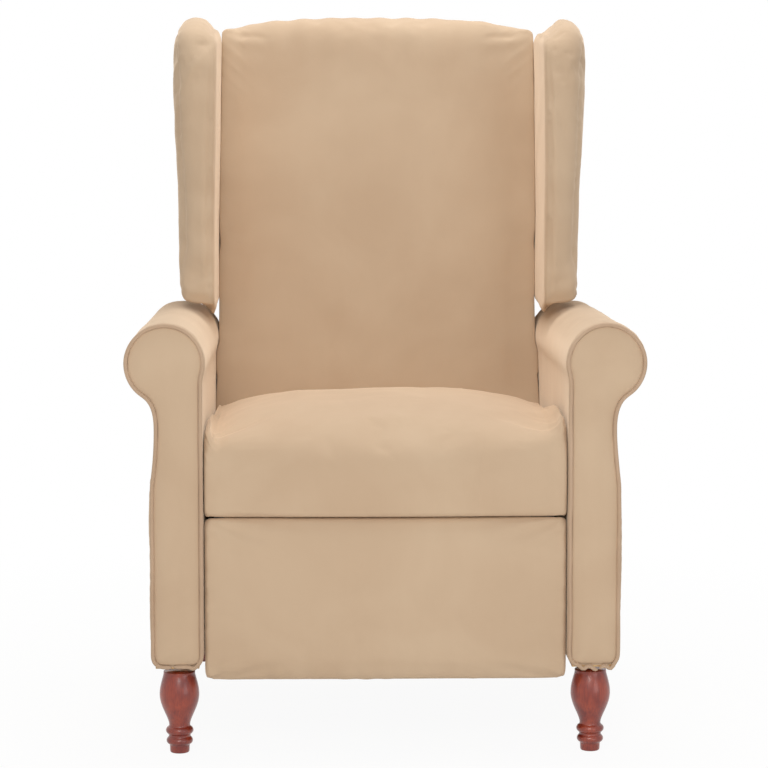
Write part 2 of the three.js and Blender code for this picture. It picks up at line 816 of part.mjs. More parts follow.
function seatPlate() {
  const slotTop = at(seatPinAhead, seatPinHeight);
  const slotLow = at(seatPinAhead, seatPinHeight - seatPinDip);
  const top = railHigh - plateRound;
  const corners = [
    at(slotTop.x - plateEar, slotLow.y - plateEar),
    at(rearGuideAhead - plateEar, basePlateHigh),
    at(rearGuideAhead - plateEar, guideHeight - plateEar),
    at(frontGuideAhead + plateEar, guideHeight - plateEar),
    at(shaftAhead - plateEar, shaftHeight - plateEar),
    at(shaftAhead + plateEar, shaftHeight - plateEar),
    at(carrierAhead, carrierHeight - plateEar * 1.5),
    at(carrierAhead + plateEar, carrierHeight - plateEar / 2),
    at(carrierAhead + plateEar, top),
    at(slotTop.x + plateEar, top),
    at(slotTop.x - plateEar, slotTop.y + plateEar),
  ];
  const shape = roundedShape(corners, plateRound);
  slotHole(shape, slotLow, slotTop, pivotRadius + slack);
  roundHole(shape, pivots.shaft, shaftRadius + slack);
  const studs = [rearGuideAhead, frontGuideAhead].map((ahead) => (
    pin(at(ahead, guideHeight), pivotRadius, seatPlateSide + layerGap, armInner - platePlay * 1.5)
  ));
  const carrierPin = rivet(pivots.carrier, linkPinRadius, seatPlateSide, outerLinkSide, rivetHead);
  return joined(plate(shape, seatPlateSide, plateThickness), ...studs, ...carrierPin);
}

// A rivet from inside one plate through its neighbour, with its head beyond the neighbour's far face.
// The head lies on the side where the neighbour is.

function rivet(centre, radius, ownSide, otherSide, head) {
  const inward = otherSide < ownSide;
  const root = ownSide + plateThickness / 2;
  const face = inward ? otherSide - slack : otherSide + plateThickness + slack;
  const end = inward ? face - rivetHeadThickness : face + rivetHeadThickness;
  return [
    pin(centre, radius, Math.min(root, end), Math.max(root, end)),
    pin(centre, head, Math.min(face, end), Math.max(face, end)),
  ];
}

// Torsion shaft: one tube under the seat with a crank and a cam pin welded to each end

function torsionShaft() {
  const end = backPlateSide + plateThickness;
  const camPin = from(pivots.shaft, crankLength, crankStart);
  const crank = plate(linkShape(pivots.shaft, camPin, crankHalfWidth), backPlateSide, plateThickness);
  const stud = pin(camPin, camPinRadius, backPlateSide + layerGap, armInner - platePlay * 1.5);
  const tube = pin(pivots.shaft, shaftRadius, -end + layerGap, end - layerGap);
  return joined(tube, crank, stud, mirrored(crank), mirrored(stud));
}

// Footrest linkage

function driveLink() {
  const shape = linkShape(pivots.shaft, pivots.drivePin, linkHalfWidth + slack * 2, linkHalfWidth);
  roundHole(shape, pivots.shaft, shaftRadius + slack);
  const joint = rivet(pivots.drivePin, linkPinRadius, outerLinkSide, innerLinkSide, rivetHead);
  return joined(plate(shape, outerLinkSide, plateThickness), ...joint);
}

function mainLink() {
  const shape = linkShape(pivots.drivePin, pivots.upperPin, linkHalfWidth);
  const body = plate(shape, innerLinkSide, plateThickness);
  const boss = pin(pivots.crossing, looseEar, innerLinkSide, innerLinkSide + plateThickness);
  const joint = rivet(pivots.upperPin, linkPinRadius, innerLinkSide, outerLinkSide, rivetHead);
  const holes = [
    pin(pivots.drivePin, linkPinRadius + slack, innerLinkSide - overrun, innerLinkSide + overrun),
    pin(pivots.crossing, looseHoleRadius, innerLinkSide - overrun, innerLinkSide + overrun),
  ];
  return cutFrom(joined(body, boss, ...joint), ...holes);
}

function carrierLink() {
  const shape = linkShape(pivots.carrier, pivots.carrierEnd, linkHalfWidth);
  roundHole(shape, pivots.carrier, linkPinRadius + slack);
  const crossing = rivet(pivots.crossing, loosePinRadius, outerLinkSide, innerLinkSide, looseRivetHead);
  const joint = rivet(pivots.carrierEnd, linkPinRadius, outerLinkSide, innerLinkSide, rivetHead);
  return joined(plate(shape, outerLinkSide, plateThickness), ...crossing, ...joint);
}

function tipLink() {
  const shape = linkShape(pivots.carrierEnd, pivots.lowerPin, linkHalfWidth);
  roundHole(shape, pivots.carrierEnd, linkPinRadius + slack);
  const joint = rivet(pivots.lowerPin, loosePinRadius, innerLinkSide, outerLinkSide, looseRivetHead);
  return joined(plate(shape, innerLinkSide, plateThickness), ...joint);
}

function addMechanism() {
  addPair('base_plate', basePlate(), blackSteel);
  addPair('seat_plate', seatPlate(), blackSteel);
  add('torsion_shaft', torsionShaft(), blackSteel);
  addPair('drive_link', driveLink(), blackSteel);
  addPair('main_link', mainLink(), blackSteel);
  addPair('carrier_link', carrierLink(), blackSteel);
  addPair('tip_link', tipLink(), blackSteel);
}

// Footrest: a board on two brackets, with a pad on its front

function footrestBracket() {
  const shape = linkShape(pivots.lowerPin, pivots.upperPin, looseEar, linkHalfWidth);
  roundHole(shape, pivots.upperPin, linkPinRadius + slack);
  roundHole(shape, pivots.lowerPin, looseHoleRadius);
  const face = footBoardRear - touch;
  const web = block(
    [outerLinkSide, outerLinkSide + plateThickness],
    [pivots.upperPin.x, face],
    [footTabLow, footTabHigh],
  );
  const tab = block(
    [outerLinkSide, outerLinkSide + footTabWidth],
    [face - plateThickness, face],
    [footTabLow, footTabHigh],
  );
  const eye = pin(
    pivots.upperPin,
    linkPinRadius + slack,
    outerLinkSide - overrun,
    outerLinkSide + overrun,
  );
  return cutFrom(joined(plate(shape, outerLinkSide, plateThickness), web, tab), eye);
}

function footrestPad() {
  const rear = footBoardRear + footBoardThickness + touch;
  const shape = roundedShape(
    [
      at(rear, footrestLow + footrestRound / 4),
      at(cushionFront, footrestLow),
      at(cushionFront, footrestHigh),
      at(rear, footrestHigh),
    ],
    footrestRound,
  );
  const middle = (footrestLow + footrestHigh) / 2;
  const tall = (footrestHigh - footrestLow) / 2;
  return softBar(shape, seatHalfWidth, (share, ahead, height) => {
    const across = 1 - share * share;
    const up = 1 - ((height - middle) / tall) ** 2;
    const front = rise(ahead, rear, cushionFront);
    const fall = edgeFall(share, seatHalfWidth, footrestSideRound);
    const swell = footrestBulge * across * Math.max(0, up) - fall * footrestBulge * 2;
    const draw = (fall * footrestBulge * 2 * (height - middle)) / tall;
    return { side: share * seatHalfWidth, ahead: ahead + swell * front, height: height - draw };
  });
}

function addFootrest() {
  addPair('footrest_bracket', footrestBracket(), blackSteel);
  const side = seatHalfWidth - footBoardMargin;
  const board = block(
    [-side, side],
    [footBoardRear, footBoardRear + footBoardThickness],
    [footrestLow + footBoardMargin, footrestHigh - footBoardMargin],
  );
  add('footrest_board', board, plywood);
  add('footrest_pad', footrestPad(), fabric);
}

// Seat frame, springs and cushion

function addSeatFrame() {
  const inner = railOuter - railThickness;
  const heights = [railLow, railHigh];
  const sideRail = block([inner, railOuter], [seatFrameRear, seatFrameFront], heights);
  addPair('seat_side_rail', sideRail, plainWood);
  const span = [-inner + touch, inner - touch];
  const frontRail = block(span, [seatFrameFront - railThickness, seatFrameFront], heights);
  add('seat_front_rail', frontRail, plainWood);
  const rearRail = block(span, [seatFrameRear, seatFrameRear + railThickness], heights);
  add('seat_rear_rail', rearRail, plainWood);
  const cloth = block(
    [-railOuter, railOuter],
    [seatFrameRear, seatFrameFront - railThickness],
    [railLow - touch - clothThickness, railLow - touch],
  );
  add('seat_dust_cloth', cloth, blackCloth);
}

function sinuousSpring(side) {
  const rear = seatFrameRear + springEnd;
  const front = seatFrameFront - springEnd;
  const height = railHigh + touch + springWireRadius;
  class Wave extends THREE.Curve {
    getPoint(share, target = new THREE.Vector3()) {
      const ahead = rear + (front - rear) * share;
      const swing = springWave * Math.sin(share * springWaves * Math.PI * 2);
      return target.set(side + swing, -ahead, height);
    }
  }
  const wire = new THREE.Shape();
  wire.absarc(0, 0, springWireRadius, 0, Math.PI * 2, false);
  const options = { steps: springSteps, extrudePath: new Wave(), curveSegments: springSides / 2 };
  return new THREE.ExtrudeGeometry(wire, options);
}

function addSprings() {
  for (let index = 0; index < springCount; index += 1) {
    const side = (index - (springCount - 1) / 2) * springSpacing;
    add(`seat_spring_${index + 1}`, sinuousSpring(side), springSteel);
  }
}

function seatCushion() {
  const rearFoot = cushionFoldAhead;
  const rearTop = rearFoot - (cushionRearTop - deck) * Math.tan(backTilt * degrees);
  const lipRear = seatFrameFront + touch;
  const shape = new THREE.Shape();
  shape.moveTo(lipRear, deck);
  shape.lineTo(lipRear, cushionLipLow);
  shape.lineTo(cushionFront - cushionBulge, cushionLipLow);
  shape.quadraticCurveTo(cushionFront, cushionLipLow, cushionFront, cushionLipLow + cushionFrontRound);
  shape.lineTo(cushionFront, cushionTop - cushionFrontRound);
  shape.quadraticCurveTo(cushionFront, cushionTop, cushionFront - cushionFrontRound, cushionTop);
  const topSteps = 8;
  for (let step = 1; step <= topSteps; step += 1) {
    const share = step / topSteps;
    const start = cushionFront - cushionFrontRound;
    shape.lineTo(start + (rearTop - start) * share, cushionTop + (cushionRearTop - cushionTop) * share);
  }
  shape.lineTo(rearFoot, deck);
  shape.closePath();
  return softBar(shape, seatHalfWidth, (share, ahead, height) => {
    const along = Math.min(1, Math.max(0, (ahead - rearTop) / (cushionFront - rearTop)));
    const top = rise(height, deck, cushionRearTop);
    const front = rise(ahead, lipRear, cushionFront);
    const fall = edgeFall(share, seatHalfWidth, cushionSideRound);
    const crown = cushionCrown * (1 - share * share) * Math.sin(along * Math.PI) ** 0.6;
    return {
      side: share * seatHalfWidth,
      ahead: ahead + front * cushionBulge * (1 - share * share - fall),
      height: height + top * (crown - cushionSideDrop * fall),
    };
  });
}

// Back: frame, webs, cushion, outer panel and wings, in the back's own frame

function archDrop(share) {
  return backArch * share ** 2 + backCornerDrop * share ** 8;
}

function wingFootLine(ahead) {
  const share = (wingFootReach - ahead) / (wingFootReach + wingRearDeep);
  return wingFootUp + (wingRearUp - wingFootUp) * share;
}

function addBackFrame() {
  const outer = lowerBackHalf;
  const inner = outer - postWidth;
  const ahead = [-(postDeep + postDepth), -postDeep];
  addPair('back_post', block([inner, outer], ahead, [postFoot, postHead]), plainWood, back);
  const span = [-inner + touch, inner - touch];
  const head = block(span, ahead, [postHead - headRailDepth, postHead]);
  add('back_head_rail', head, plainWood, back);
  const lower = block(span, ahead, [lowerRailUp, lowerRailUp + lowerRailDepth]);
  add('back_lower_rail', lower, plainWood, back);
  for (let index = 0; index < webCount; index += 1) {
    const up = webFirstUp + index * webPitch;
    const front = -(postDeep - touch);
    const web = block([-outer, outer], [front, front + webThickness], [up, up + webWidth]);
    add(`back_web_${index + 1}`, web, webbing, back);
  }
}

function backCushion() {
  const rear = -backCushionDepth;
  const shape = new THREE.Shape();
  const faceSteps = 10;
  const faceLow = backRound / 2;
  const faceHigh = backLength - backRound;
  const flapLow = postHead + archDrop(1) + touch;
  shape.moveTo(rear, 0);
  shape.lineTo(-backRound / 2, 0);
  shape.quadraticCurveTo(0, 0, 0, faceLow);
  for (let step = 1; step <= faceSteps; step += 1) {
    shape.lineTo(0, faceLow + ((faceHigh - faceLow) * step) / faceSteps);
  }
  shape.quadraticCurveTo(0, backLength, -backRound, backLength);
  shape.lineTo(-(panelDeep - touch), backLength);
  shape.lineTo(-(panelDeep - touch), flapLow);
  shape.lineTo(rear, flapLow);
  for (let step = 1; step < faceSteps; step += 1) {
    shape.lineTo(rear, flapLow - (flapLow * step) / faceSteps);
  }
  shape.closePath();
  return softBar(shape, lowerBackHalf, (share, ahead, height) => {
    const line = wingFootLine(ahead);
    const half = lowerBackHalf + upperBackGain * rise(height, line + backRound, line + backRound * 2);
    const front = rise(ahead, rear, 0);
    const fall = edgeFall(share, half, backSideRound);
    const swell = Math.sin((Math.PI * height) / backLength) * (1 - share * share);
    const top = rise(height, backLength / 2, backLength);
    return {
      side: share * half,
      ahead: ahead + front * (backBulge * swell - backSideRound * fall / 2),
      height: height - archDrop(share) * top,
    };
  });
}

function backOuterPanel() {
  const lower = lowerBackHalf - backPanelSoftness;
  const upper = upperBackHalf + backPanelSoftness - wingPlay;
  const line = wingRearUp + backRound;
  const top = backLength - backPanelMargin;
  const archSteps = 12;
  const shape = new THREE.Shape();
  shape.moveTo(-lower, -backPanelDrop);
  shape.lineTo(lower, -backPanelDrop);
  shape.lineTo(lower, line);
  shape.lineTo(upper, line + backRound);
  for (let step = 0; step <= archSteps; step += 1) {
    const share = 1 - (2 * step) / archSteps;
    shape.lineTo(upper * share, top - archDrop(share));
  }
  shape.lineTo(-upper, line + backRound);
  shape.lineTo(-lower, line);
  shape.closePath();
  const options = {
    bevelEnabled: true,
    bevelThickness: backPanelSoftness,
    bevelSize: backPanelSoftness,
    bevelOffset: -backPanelSoftness,
    bevelSegments: 2,
  };
  const rear = -(panelDeep + backPanelThickness);
  return bar(shape, rear + backPanelSoftness, -panelDeep - backPanelSoftness, options);
}

function wingShape() {
  const points = wingOutlineShares.map(([reach, up]) => at(
    reach * wingReach,
    wingFootUp + up * (wingHeadUp - wingFootUp),
  ));
  const shape = new THREE.Shape();
  shape.moveTo(-wingRearDeep, wingRearUp);
  shape.lineTo(wingFootReach - wingRound, wingFootLine(wingFootReach - wingRound));
  shape.quadraticCurveTo(wingFootReach, wingFootUp, wingFootReach + wingRound / 4, wingFootUp + wingRound);
  shape.splineThru(points);
  shape.lineTo(-wingRearDeep, wingFootUp + (wingHeadUp - wingFootUp) * wingRearHeadShare);
  shape.closePath();
  return shape;
}

function wing() {
  const middle = at((wingFootReach - wingRearDeep) / 2, (wingFootUp + wingHeadUp) / 2);
  const half = wingThickness / 2;
  const leaning = softBar(wingShape(), half, (share, ahead, height) => {
    const inset = wingRound * edgeFall(share, half, wingRound * 2);
    const reach = at(ahead, height).sub(middle);
    const place = middle.clone().addScaledVector(reach, 1 - inset / reach.length());
    const lean = wingLean * rise(height, wingFootUp, wingHeadUp);
    return { side: wingInner + half + share * half + lean, ahead: place.x, height: place.y };
  }, { steps: wingSteps, curveSegments: wingCurveSegments });
  const board = wingBoardPlace();
  const slot = block(
    [board.side[0] - touch, board.side[1] + touch],
    [-(wingRearDeep + overrun), board.ahead[1] + touch],
    [board.up[0] - touch, board.up[1] + touch],
  );
  return cutFrom(leaning, slot, ...wingCleats(touch));
}

function wingBoardPlace() {
  const middle = wingInner + wingLean / 2 + wingThickness / 2;
  return {
    side: [middle - wingBoardThickness / 2, middle + wingBoardThickness / 2],
    ahead: [-(wingRearDeep - wingRound), wingBoardReach],
    up: [wingBoardLow, wingBoardHigh],
  };
}

// The blocks between the back post and the wing board, grown by a clearance to cut their way

function wingCleats(clearance) {
  const board = wingBoardPlace();
  return [board.up[0], board.up[1] - wingCleatHeight].map((low) => block(
    [lowerBackHalf + touch - clearance, (board.side[0] + board.side[1]) / 2],
    [-(postDeep + postDepth) - clearance, -postDeep + clearance],
    [low - clearance, low + wingCleatHeight + clearance],
  ));
}

function wingBoard() {
  const board = wingBoardPlace();
  return joined(block(board.side, board.ahead, board.up), ...wingCleats(0));
}

function addBack() {
  addBackFrame();
  add('back_cushion', backCushion(), fabric, back);
  add('back_outer_panel', backOuterPanel(), backFabric, back);
  addPair('wing', wing(), fabric, back);
  addPair('wing_board', wingBoard(), plywood, back);
  addPair('back_bracket', backBracket(), blackSteel, back);
}

addArms();
addCrossPieces();
addLegs();
addMechanism();
addFootrest();
addSeatFrame();
addSprings();
add('seat_cushion', seatCushion(), fabric);
addBack();

// The origin lies on the floor, under the middle of the chair's box
const box = new THREE.Box3().setFromObject(chair, true);
chair.position.y = -(box.min.y + box.max.y) / 2;

export default chair;
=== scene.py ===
# %% [markdown]
# # A push-back wing recliner, upholstered in code
#
# The recliner's frame, steel linkage and joints arrive as a finished CAD model. This notebook dresses
# it: foam, sewn covers, piping, turned legs and the finish of every board and plate. Each step says what
# the piece is on the real chair, how it could be made in Blender, and why it is made this way.

# %% The frame, in metres, with +Z up and the chair facing -Y
import math

import bmesh
import bpy
import numpy as np
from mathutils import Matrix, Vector


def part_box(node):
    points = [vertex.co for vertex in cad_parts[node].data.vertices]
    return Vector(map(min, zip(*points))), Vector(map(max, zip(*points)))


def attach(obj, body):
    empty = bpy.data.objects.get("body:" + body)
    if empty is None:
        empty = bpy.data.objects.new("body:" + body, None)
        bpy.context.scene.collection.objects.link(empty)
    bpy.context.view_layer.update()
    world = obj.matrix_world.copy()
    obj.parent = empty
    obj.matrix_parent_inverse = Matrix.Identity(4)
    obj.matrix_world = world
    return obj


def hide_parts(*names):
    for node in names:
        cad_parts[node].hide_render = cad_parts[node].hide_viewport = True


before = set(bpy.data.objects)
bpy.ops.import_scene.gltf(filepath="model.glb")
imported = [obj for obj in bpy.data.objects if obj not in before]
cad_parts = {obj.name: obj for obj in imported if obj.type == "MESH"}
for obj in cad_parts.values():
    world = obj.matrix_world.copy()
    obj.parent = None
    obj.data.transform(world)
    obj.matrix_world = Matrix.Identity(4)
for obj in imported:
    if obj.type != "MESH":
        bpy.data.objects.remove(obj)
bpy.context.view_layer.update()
scene = bpy.context.scene
scene.view_settings.view_transform = "Standard"

# %% [markdown]
# ## The camera
#
# The photograph is a catalogue view: straight from the front, from about the height of the back's middle,
# with a long lens. The vertical lines hardly lean, so the camera needs no shift, only a slight tilt down.
# Its place follows from readings in the 768 pixel photograph: the scale at the arms' front, how much
# smaller the back between the wings is, how far the arms' tops recede, and the side on which more of an
# arm's inner face shows.

# %% The camera's place from the photograph
IMAGE_SIZE = 768
FRONT_SCALE = 738.6  # pixels per metre at the arms' front
VIEW_DISTANCE = 3.6  # from the arms' front
VIEW_HEIGHT = 0.836
VIEW_SIDE = -0.094
MIDDLE_HEIGHT = 0.5134  # of the picture's middle, at the arms' front
MIDDLE_SIDE = -0.0027
SENSOR_WIDTH = 36.0

arm_low, arm_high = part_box("right_arm_cover")
front_y = arm_low.y
view_middle = Vector((MIDDLE_SIDE, front_y, MIDDLE_HEIGHT))

camera_data = bpy.data.cameras.new("portrait_camera")
camera = bpy.data.objects.new("portrait_camera", camera_data)
scene.collection.objects.link(camera)
scene.camera = camera
camera.location = (VIEW_SIDE, front_y - VIEW_DISTANCE, VIEW_HEIGHT)
sight = view_middle - camera.location
camera.rotation_euler = sight.to_track_quat("-Z", "Y").to_euler()
camera_data.sensor_width = SENSOR_WIDTH
camera_data.lens = SENSOR_WIDTH * FRONT_SCALE * sight.length / IMAGE_SIZE
print("lens", round(camera_data.lens, 1), "mm")

# %% [markdown]
# ## Colour and nodes
#
# Colours are written as sRGB hex values, the way a swatch is named, and turned to Blender's linear values
# in one place. One small function adds a shader node with its settings and its links, and a few more wrap
# the nodes that every material uses, so that a material reads as a short recipe.


# %% Colour and node helpers
MM = 0.001


def linear(swatch):
    """A linear RGBA colour from an sRGB hex value such as "#c9ad92"."""
    channels = [int(swatch[start:start + 2], 16) / 255 for start in (1, 3, 5)]
    return (*[c / 12.92 if c <= 0.04045 else ((c + 0.055) / 1.055) ** 2.4 for c in channels], 1.0)


def set_inputs(tree, node, inputs):
    """Each input is a value, or another node's output socket to link from."""
    for key, value in inputs.items():
        if isinstance(value, bpy.types.NodeSocket):
            tree.links.new(value, node.inputs[key])
        else:
            node.inputs[key].default_value = value


def add_node(tree, kind, inputs=None, **settings):
    """Adds a node with its settings and inputs."""
    node = tree.nodes.new(kind)
    for name, value in settings.items():
        setattr(node, name, value)
    set_inputs(tree, node, inputs or {})
    return node


def start_material(name):
    """A new material, its tree, its surface shader and its coordinates in metres."""
    material = bpy.data.materials.new(name)
    material.use_nodes = True
    tree = material.node_tree
    tree.nodes.clear()
    shader = add_node(tree, "ShaderNodeBsdfPrincipled")
    add_node(tree, "ShaderNodeOutputMaterial", {"Surface": shader.outputs["BSDF"]})
    place = add_node(tree, "ShaderNodeTexCoord").outputs["Object"]
    return material, tree, shader, place


def stretched(tree, place, sizes):
    """Coordinates in which a pattern of the given sizes in mm, along X, Y and Z, repeats each unit."""
    return add_node(tree, "ShaderNodeMapping", {
        "Vector": place, "Scale": [1 / (size * MM) for size in sizes],
    }).outputs["Vector"]


def noise(tree, place, sizes, detail, roughness=0.5, distortion=0.0):
    """Noise from 0 to 1 whose humps have the given sizes in mm along X, Y and Z."""
    return add_node(tree, "ShaderNodeTexNoise", {
        "Vector": stretched(tree, place, sizes), "Scale": 1, "Detail": detail, "Roughness": roughness,
        "Distortion": distortion,
    }).outputs["Fac"]


def ramp(tree, value, low, high, start=0.0, end=1.0):
    """start where the value is low, end where it is high, and straight between them."""
    return add_node(tree, "ShaderNodeMapRange", {
        "Value": value, "From Min": low, "From Max": high, "To Min": start, "To Max": end,
    }).outputs["Result"]


def between(tree, share, first, second):
    """A colour between two, by a share from 0 to 1."""
    return add_node(tree, "ShaderNodeMix", {0: share, 6: first, 7: second}, data_type="RGBA").outputs[2]


def bump(tree, height, strength, depth, under=None):
    """A surface that looks uneven by a depth in mm, on top of another bump where one is under it."""
    below = {"Normal": under} if under else {}
    return add_node(tree, "ShaderNodeBump", {
        "Height": height, "Strength": strength, "Distance": depth * MM, **below,
    }).outputs["Normal"]


# %% [markdown]
# ## Brushed microfibre
#
# The cover is polyester microfibre with a sanded nap, the cloth sold as faux suede. It is matt, has no
# weave that can be seen, and shows broad, faint patches where a hand or a cushion laid the nap another
# way. A close look gives a grain of short fibres. An image texture would repeat and would need an
# unwrapped mesh, so the nap is three noises in real sizes: patches of 160 mm, brush strokes of 18 by
# 70 mm, and a fibre grain. Real fibres are far below a pixel here, so the grain is drawn at 1.6 mm.


# %% Microfibre
def brushed_microfibre(name, laid, raised, roughness):
    """laid and raised are the swatches of nap that lies away from the eye and towards it."""
    material, tree, shader, place = start_material(name)
    patches = ramp(tree, noise(tree, place, [160] * 3, 3, distortion=0.8), 0.3, 0.7)
    strokes = noise(tree, place, [18, 18, 70], 2)
    grain = noise(tree, place, [1.6] * 3, 2, 0.7)
    creases = noise(tree, place, [45, 45, 60], 3)
    fine = add_node(tree, "ShaderNodeMath", {0: strokes, 1: grain}, operation="ADD").outputs[0]
    share = add_node(tree, "ShaderNodeMath", {0: fine, 1: 0.3, 2: patches}, operation="MULTIPLY_ADD")
    level = ramp(tree, share.outputs[0], 0.1, 1.5)
    rumple = bump(tree, creases, 0.5, 1.6)
    set_inputs(tree, shader, {
        "Base Color": between(tree, level, linear(laid), linear(raised)),
        "Normal": bump(tree, grain, 0.35, 0.25, rumple), "Roughness": roughness,
        "Specular IOR Level": 0.25, "Sheen Weight": 0.7, "Sheen Roughness": 0.45,
        "Sheen Tint": linear("#f1dcc4"),
    })
    return material


microfibre = brushed_microfibre("beige_brushed_microfibre", "#c2a78b", "#ccb397", 0.92)
piping_microfibre = brushed_microfibre("piping_microfibre", "#b3977d", "#c3a88f", 0.9)
print("fabric:", microfibre.name)

# %% [markdown]
# ## Lacquered mahogany-red wood
#
# The legs are turned from a plain hardwood, stained red-brown and sprayed with a clear gloss lacquer. The
# stain takes unevenly, in warmer and darker patches, and the grooves get painted shade from the pointiness.
# A clear coat over a stained, long-grained wood gives the sharp highlight on top of the soft one below.


# %% Lacquered wood
def lacquered_wood():
    material, tree, shader, place = start_material("red_brown_lacquered_wood")
    fibres = noise(tree, place, [2.2, 2.2, 45], 4, 0.65)
    clouds = ramp(tree, noise(tree, place, [22, 22, 30], 2), 0.35, 0.65)
    stained = between(tree, clouds, linear("#7b2619"), linear("#a2432b"))
    grained = between(tree, ramp(tree, fibres, 0.42, 0.72, 0, 0.5), stained, linear("#54191a"))
    hollows = add_node(tree, "ShaderNodeNewGeometry").outputs["Pointiness"]
    # Painted shade: the grooves, where the mesh's pointiness is low, are darkened towards #45181a.
    painted_groove_shade = ramp(tree, hollows, 0.42, 0.5, 0.75, 0)
    set_inputs(tree, shader, {
        "Base Color": between(tree, painted_groove_shade, grained, linear("#45181a")),
        "Normal": bump(tree, fibres, 0.2, 0.1), "Roughness": 0.38,
        "Coat Weight": 0.4, "Coat Roughness": 0.12,
    })
    return material


lacquered = lacquered_wood()
print("wood:", lacquered.name)

# %% [markdown]
# ## Raw wood and board
#
# Nobody sees the frame of an upholstered chair, so it is sawn pine, plywood and fibreboard with no finish.
# Pine has growth rings, which a board cuts into long stripes 3 to 9 mm apart. Plywood shows a bland face
# and, on its edge, veneers 1.4 mm thick. One function makes both: noise that is drawn out along the grain,
# between an early and a late wood colour.

# %% Raw wood
GRAIN_STRETCH = 14
FIBRES_PER_RING = 6


def raw_wood(name, early, late, ring, long_axis, contrast):
    """ring is the stripes' spacing in mm and long_axis the index of the axis that they run along."""
    material, tree, shader, place = start_material(name)
    sizes = [ring, ring, ring]
    sizes[long_axis] = ring * GRAIN_STRETCH
    stripes = noise(tree, place, sizes, 3, distortion=0.6)
    fibres = noise(tree, place, [size / FIBRES_PER_RING for size in sizes], 2)
    share = ramp(tree, stripes, 0.35, 0.65, 0, contrast)
    set_inputs(tree, shader, {
        "Base Color": between(tree, share, linear(early), linear(late)),
        "Normal": bump(tree, fibres, 0.4, 0.3), "Roughness": 0.72,
    })
    return material


pine_across, pine_along, pine_upright = (
    raw_wood(f"sawn_pine_{way}", "#dcbf8e", "#b98a55", 6, axis, 0.9)
    for axis, way in enumerate(("across", "along", "upright"))
)
plywood = raw_wood("raw_plywood", "#d8bd8f", "#bd9a66", 1.4, 0, 0.7)
fibreboard = raw_wood("raw_fibreboard", "#a98a63", "#8f7250", 3, 1, 0.6)
print("boards:", plywood.name, fibreboard.name)

# %% [markdown]
# ## Steel
#
# The linkage is punched strip, powder-coated satin black: an even, faintly pebbled skin. The springs are
# drawn wire with an oil film, which stays metallic. Powder coat is a plastic over the metal, so it is a
# dielectric with a bump of 0.7 mm pebbles, and only the wire is metallic.


# %% Powder-coated steel and spring wire
def powder_coated_steel():
    material, tree, shader, place = start_material("black_powder_coated_steel")
    pebbles = noise(tree, place, [0.7] * 3, 1)
    dust = noise(tree, place, [35] * 3, 4)
    set_inputs(tree, shader, {
        "Base Color": between(tree, dust, linear("#232427"), linear("#34353a")),
        "Normal": bump(tree, pebbles, 0.3, 0.1), "Roughness": 0.42,
    })
    return material


def spring_wire():
    material, tree, shader, place = start_material("oiled_spring_wire")
    film = noise(tree, place, [12] * 3, 3)
    set_inputs(tree, shader, {
        "Base Color": between(tree, film, linear("#74777b"), linear("#9a9da1")),
        "Metallic": 1.0, "Roughness": 0.38,
    })
    return material


black_steel = powder_coated_steel()
oiled_wire = spring_wire()
print("metal:", black_steel.name, oiled_wire.name)

# %% [markdown]
# ## Dust cloth and webbing
#
# Spun-bonded polypropylene closes the seat from below. It is pressed from loose fibres, so it shows
# light and dark flecks and a grid of tiny weld points. The elastic webbing behind the back's cushion is
# woven, with stripes along its length.


# %% Dust cloth and webbing
def spun_cloth():
    material, tree, shader, place = start_material("black_spun_bonded_cloth")
    flecks = noise(tree, place, [3] * 3, 4, 0.8)
    welds = add_node(tree, "ShaderNodeTexVoronoi", {
        "Vector": stretched(tree, place, [2.5] * 3), "Scale": 1, "Randomness": 0.15,
    }).outputs["Distance"]
    set_inputs(tree, shader, {
        "Base Color": between(tree, flecks, linear("#141417"), linear("#34343a")),
        "Normal": bump(tree, welds, 0.4, 0.2), "Roughness": 0.85,
    })
    return material


def elastic_webbing():
    material, tree, shader, place = start_material("elastic_webbing")
    threads = add_node(tree, "ShaderNodeTexWave", {
        "Vector": stretched(tree, place, [2.4] * 3), "Scale": 1, "Distortion": 0.4,
    }, bands_direction="Z").outputs["Fac"]
    set_inputs(tree, shader, {
        "Base Color": between(tree, threads, linear("#bdb5a4"), linear("#ece6d9")),
        "Normal": bump(tree, threads, 0.6, 0.4), "Roughness": 0.9,
    })
    return material


spun_black = spun_cloth()
webbing = elastic_webbing()
print("cloths:", spun_black.name, webbing.name)

# %% [markdown]
# ## Finishes on the CAD pieces that stay
#
# The steel plates, boards and rails already have their true shape, so they only get a finish. Punched steel
# and sawn wood have slightly broken edges, which a small bevel shows by catching a line of light.

# %% Finishes by node
STEEL_BREAK = 0.35 * MM
WOOD_BREAK = 1.2 * MM
SHARP_ANGLE = math.radians(40)
SIDES = {"left": -1, "right": 1}  # as the photograph shows them, and the sign of x there


def dress(node_name, material, edge_break):
    """Gives a CAD node its finish and a fine broken edge."""
    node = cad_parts[node_name]
    node.data.materials.clear()
    node.data.materials.append(material)
    if edge_break:
        bevel = node.modifiers.new("broken_edge", "BEVEL")
        bevel.width = edge_break
        bevel.segments = 2
        bevel.limit_method = "ANGLE"
        bevel.angle_limit = SHARP_ANGLE


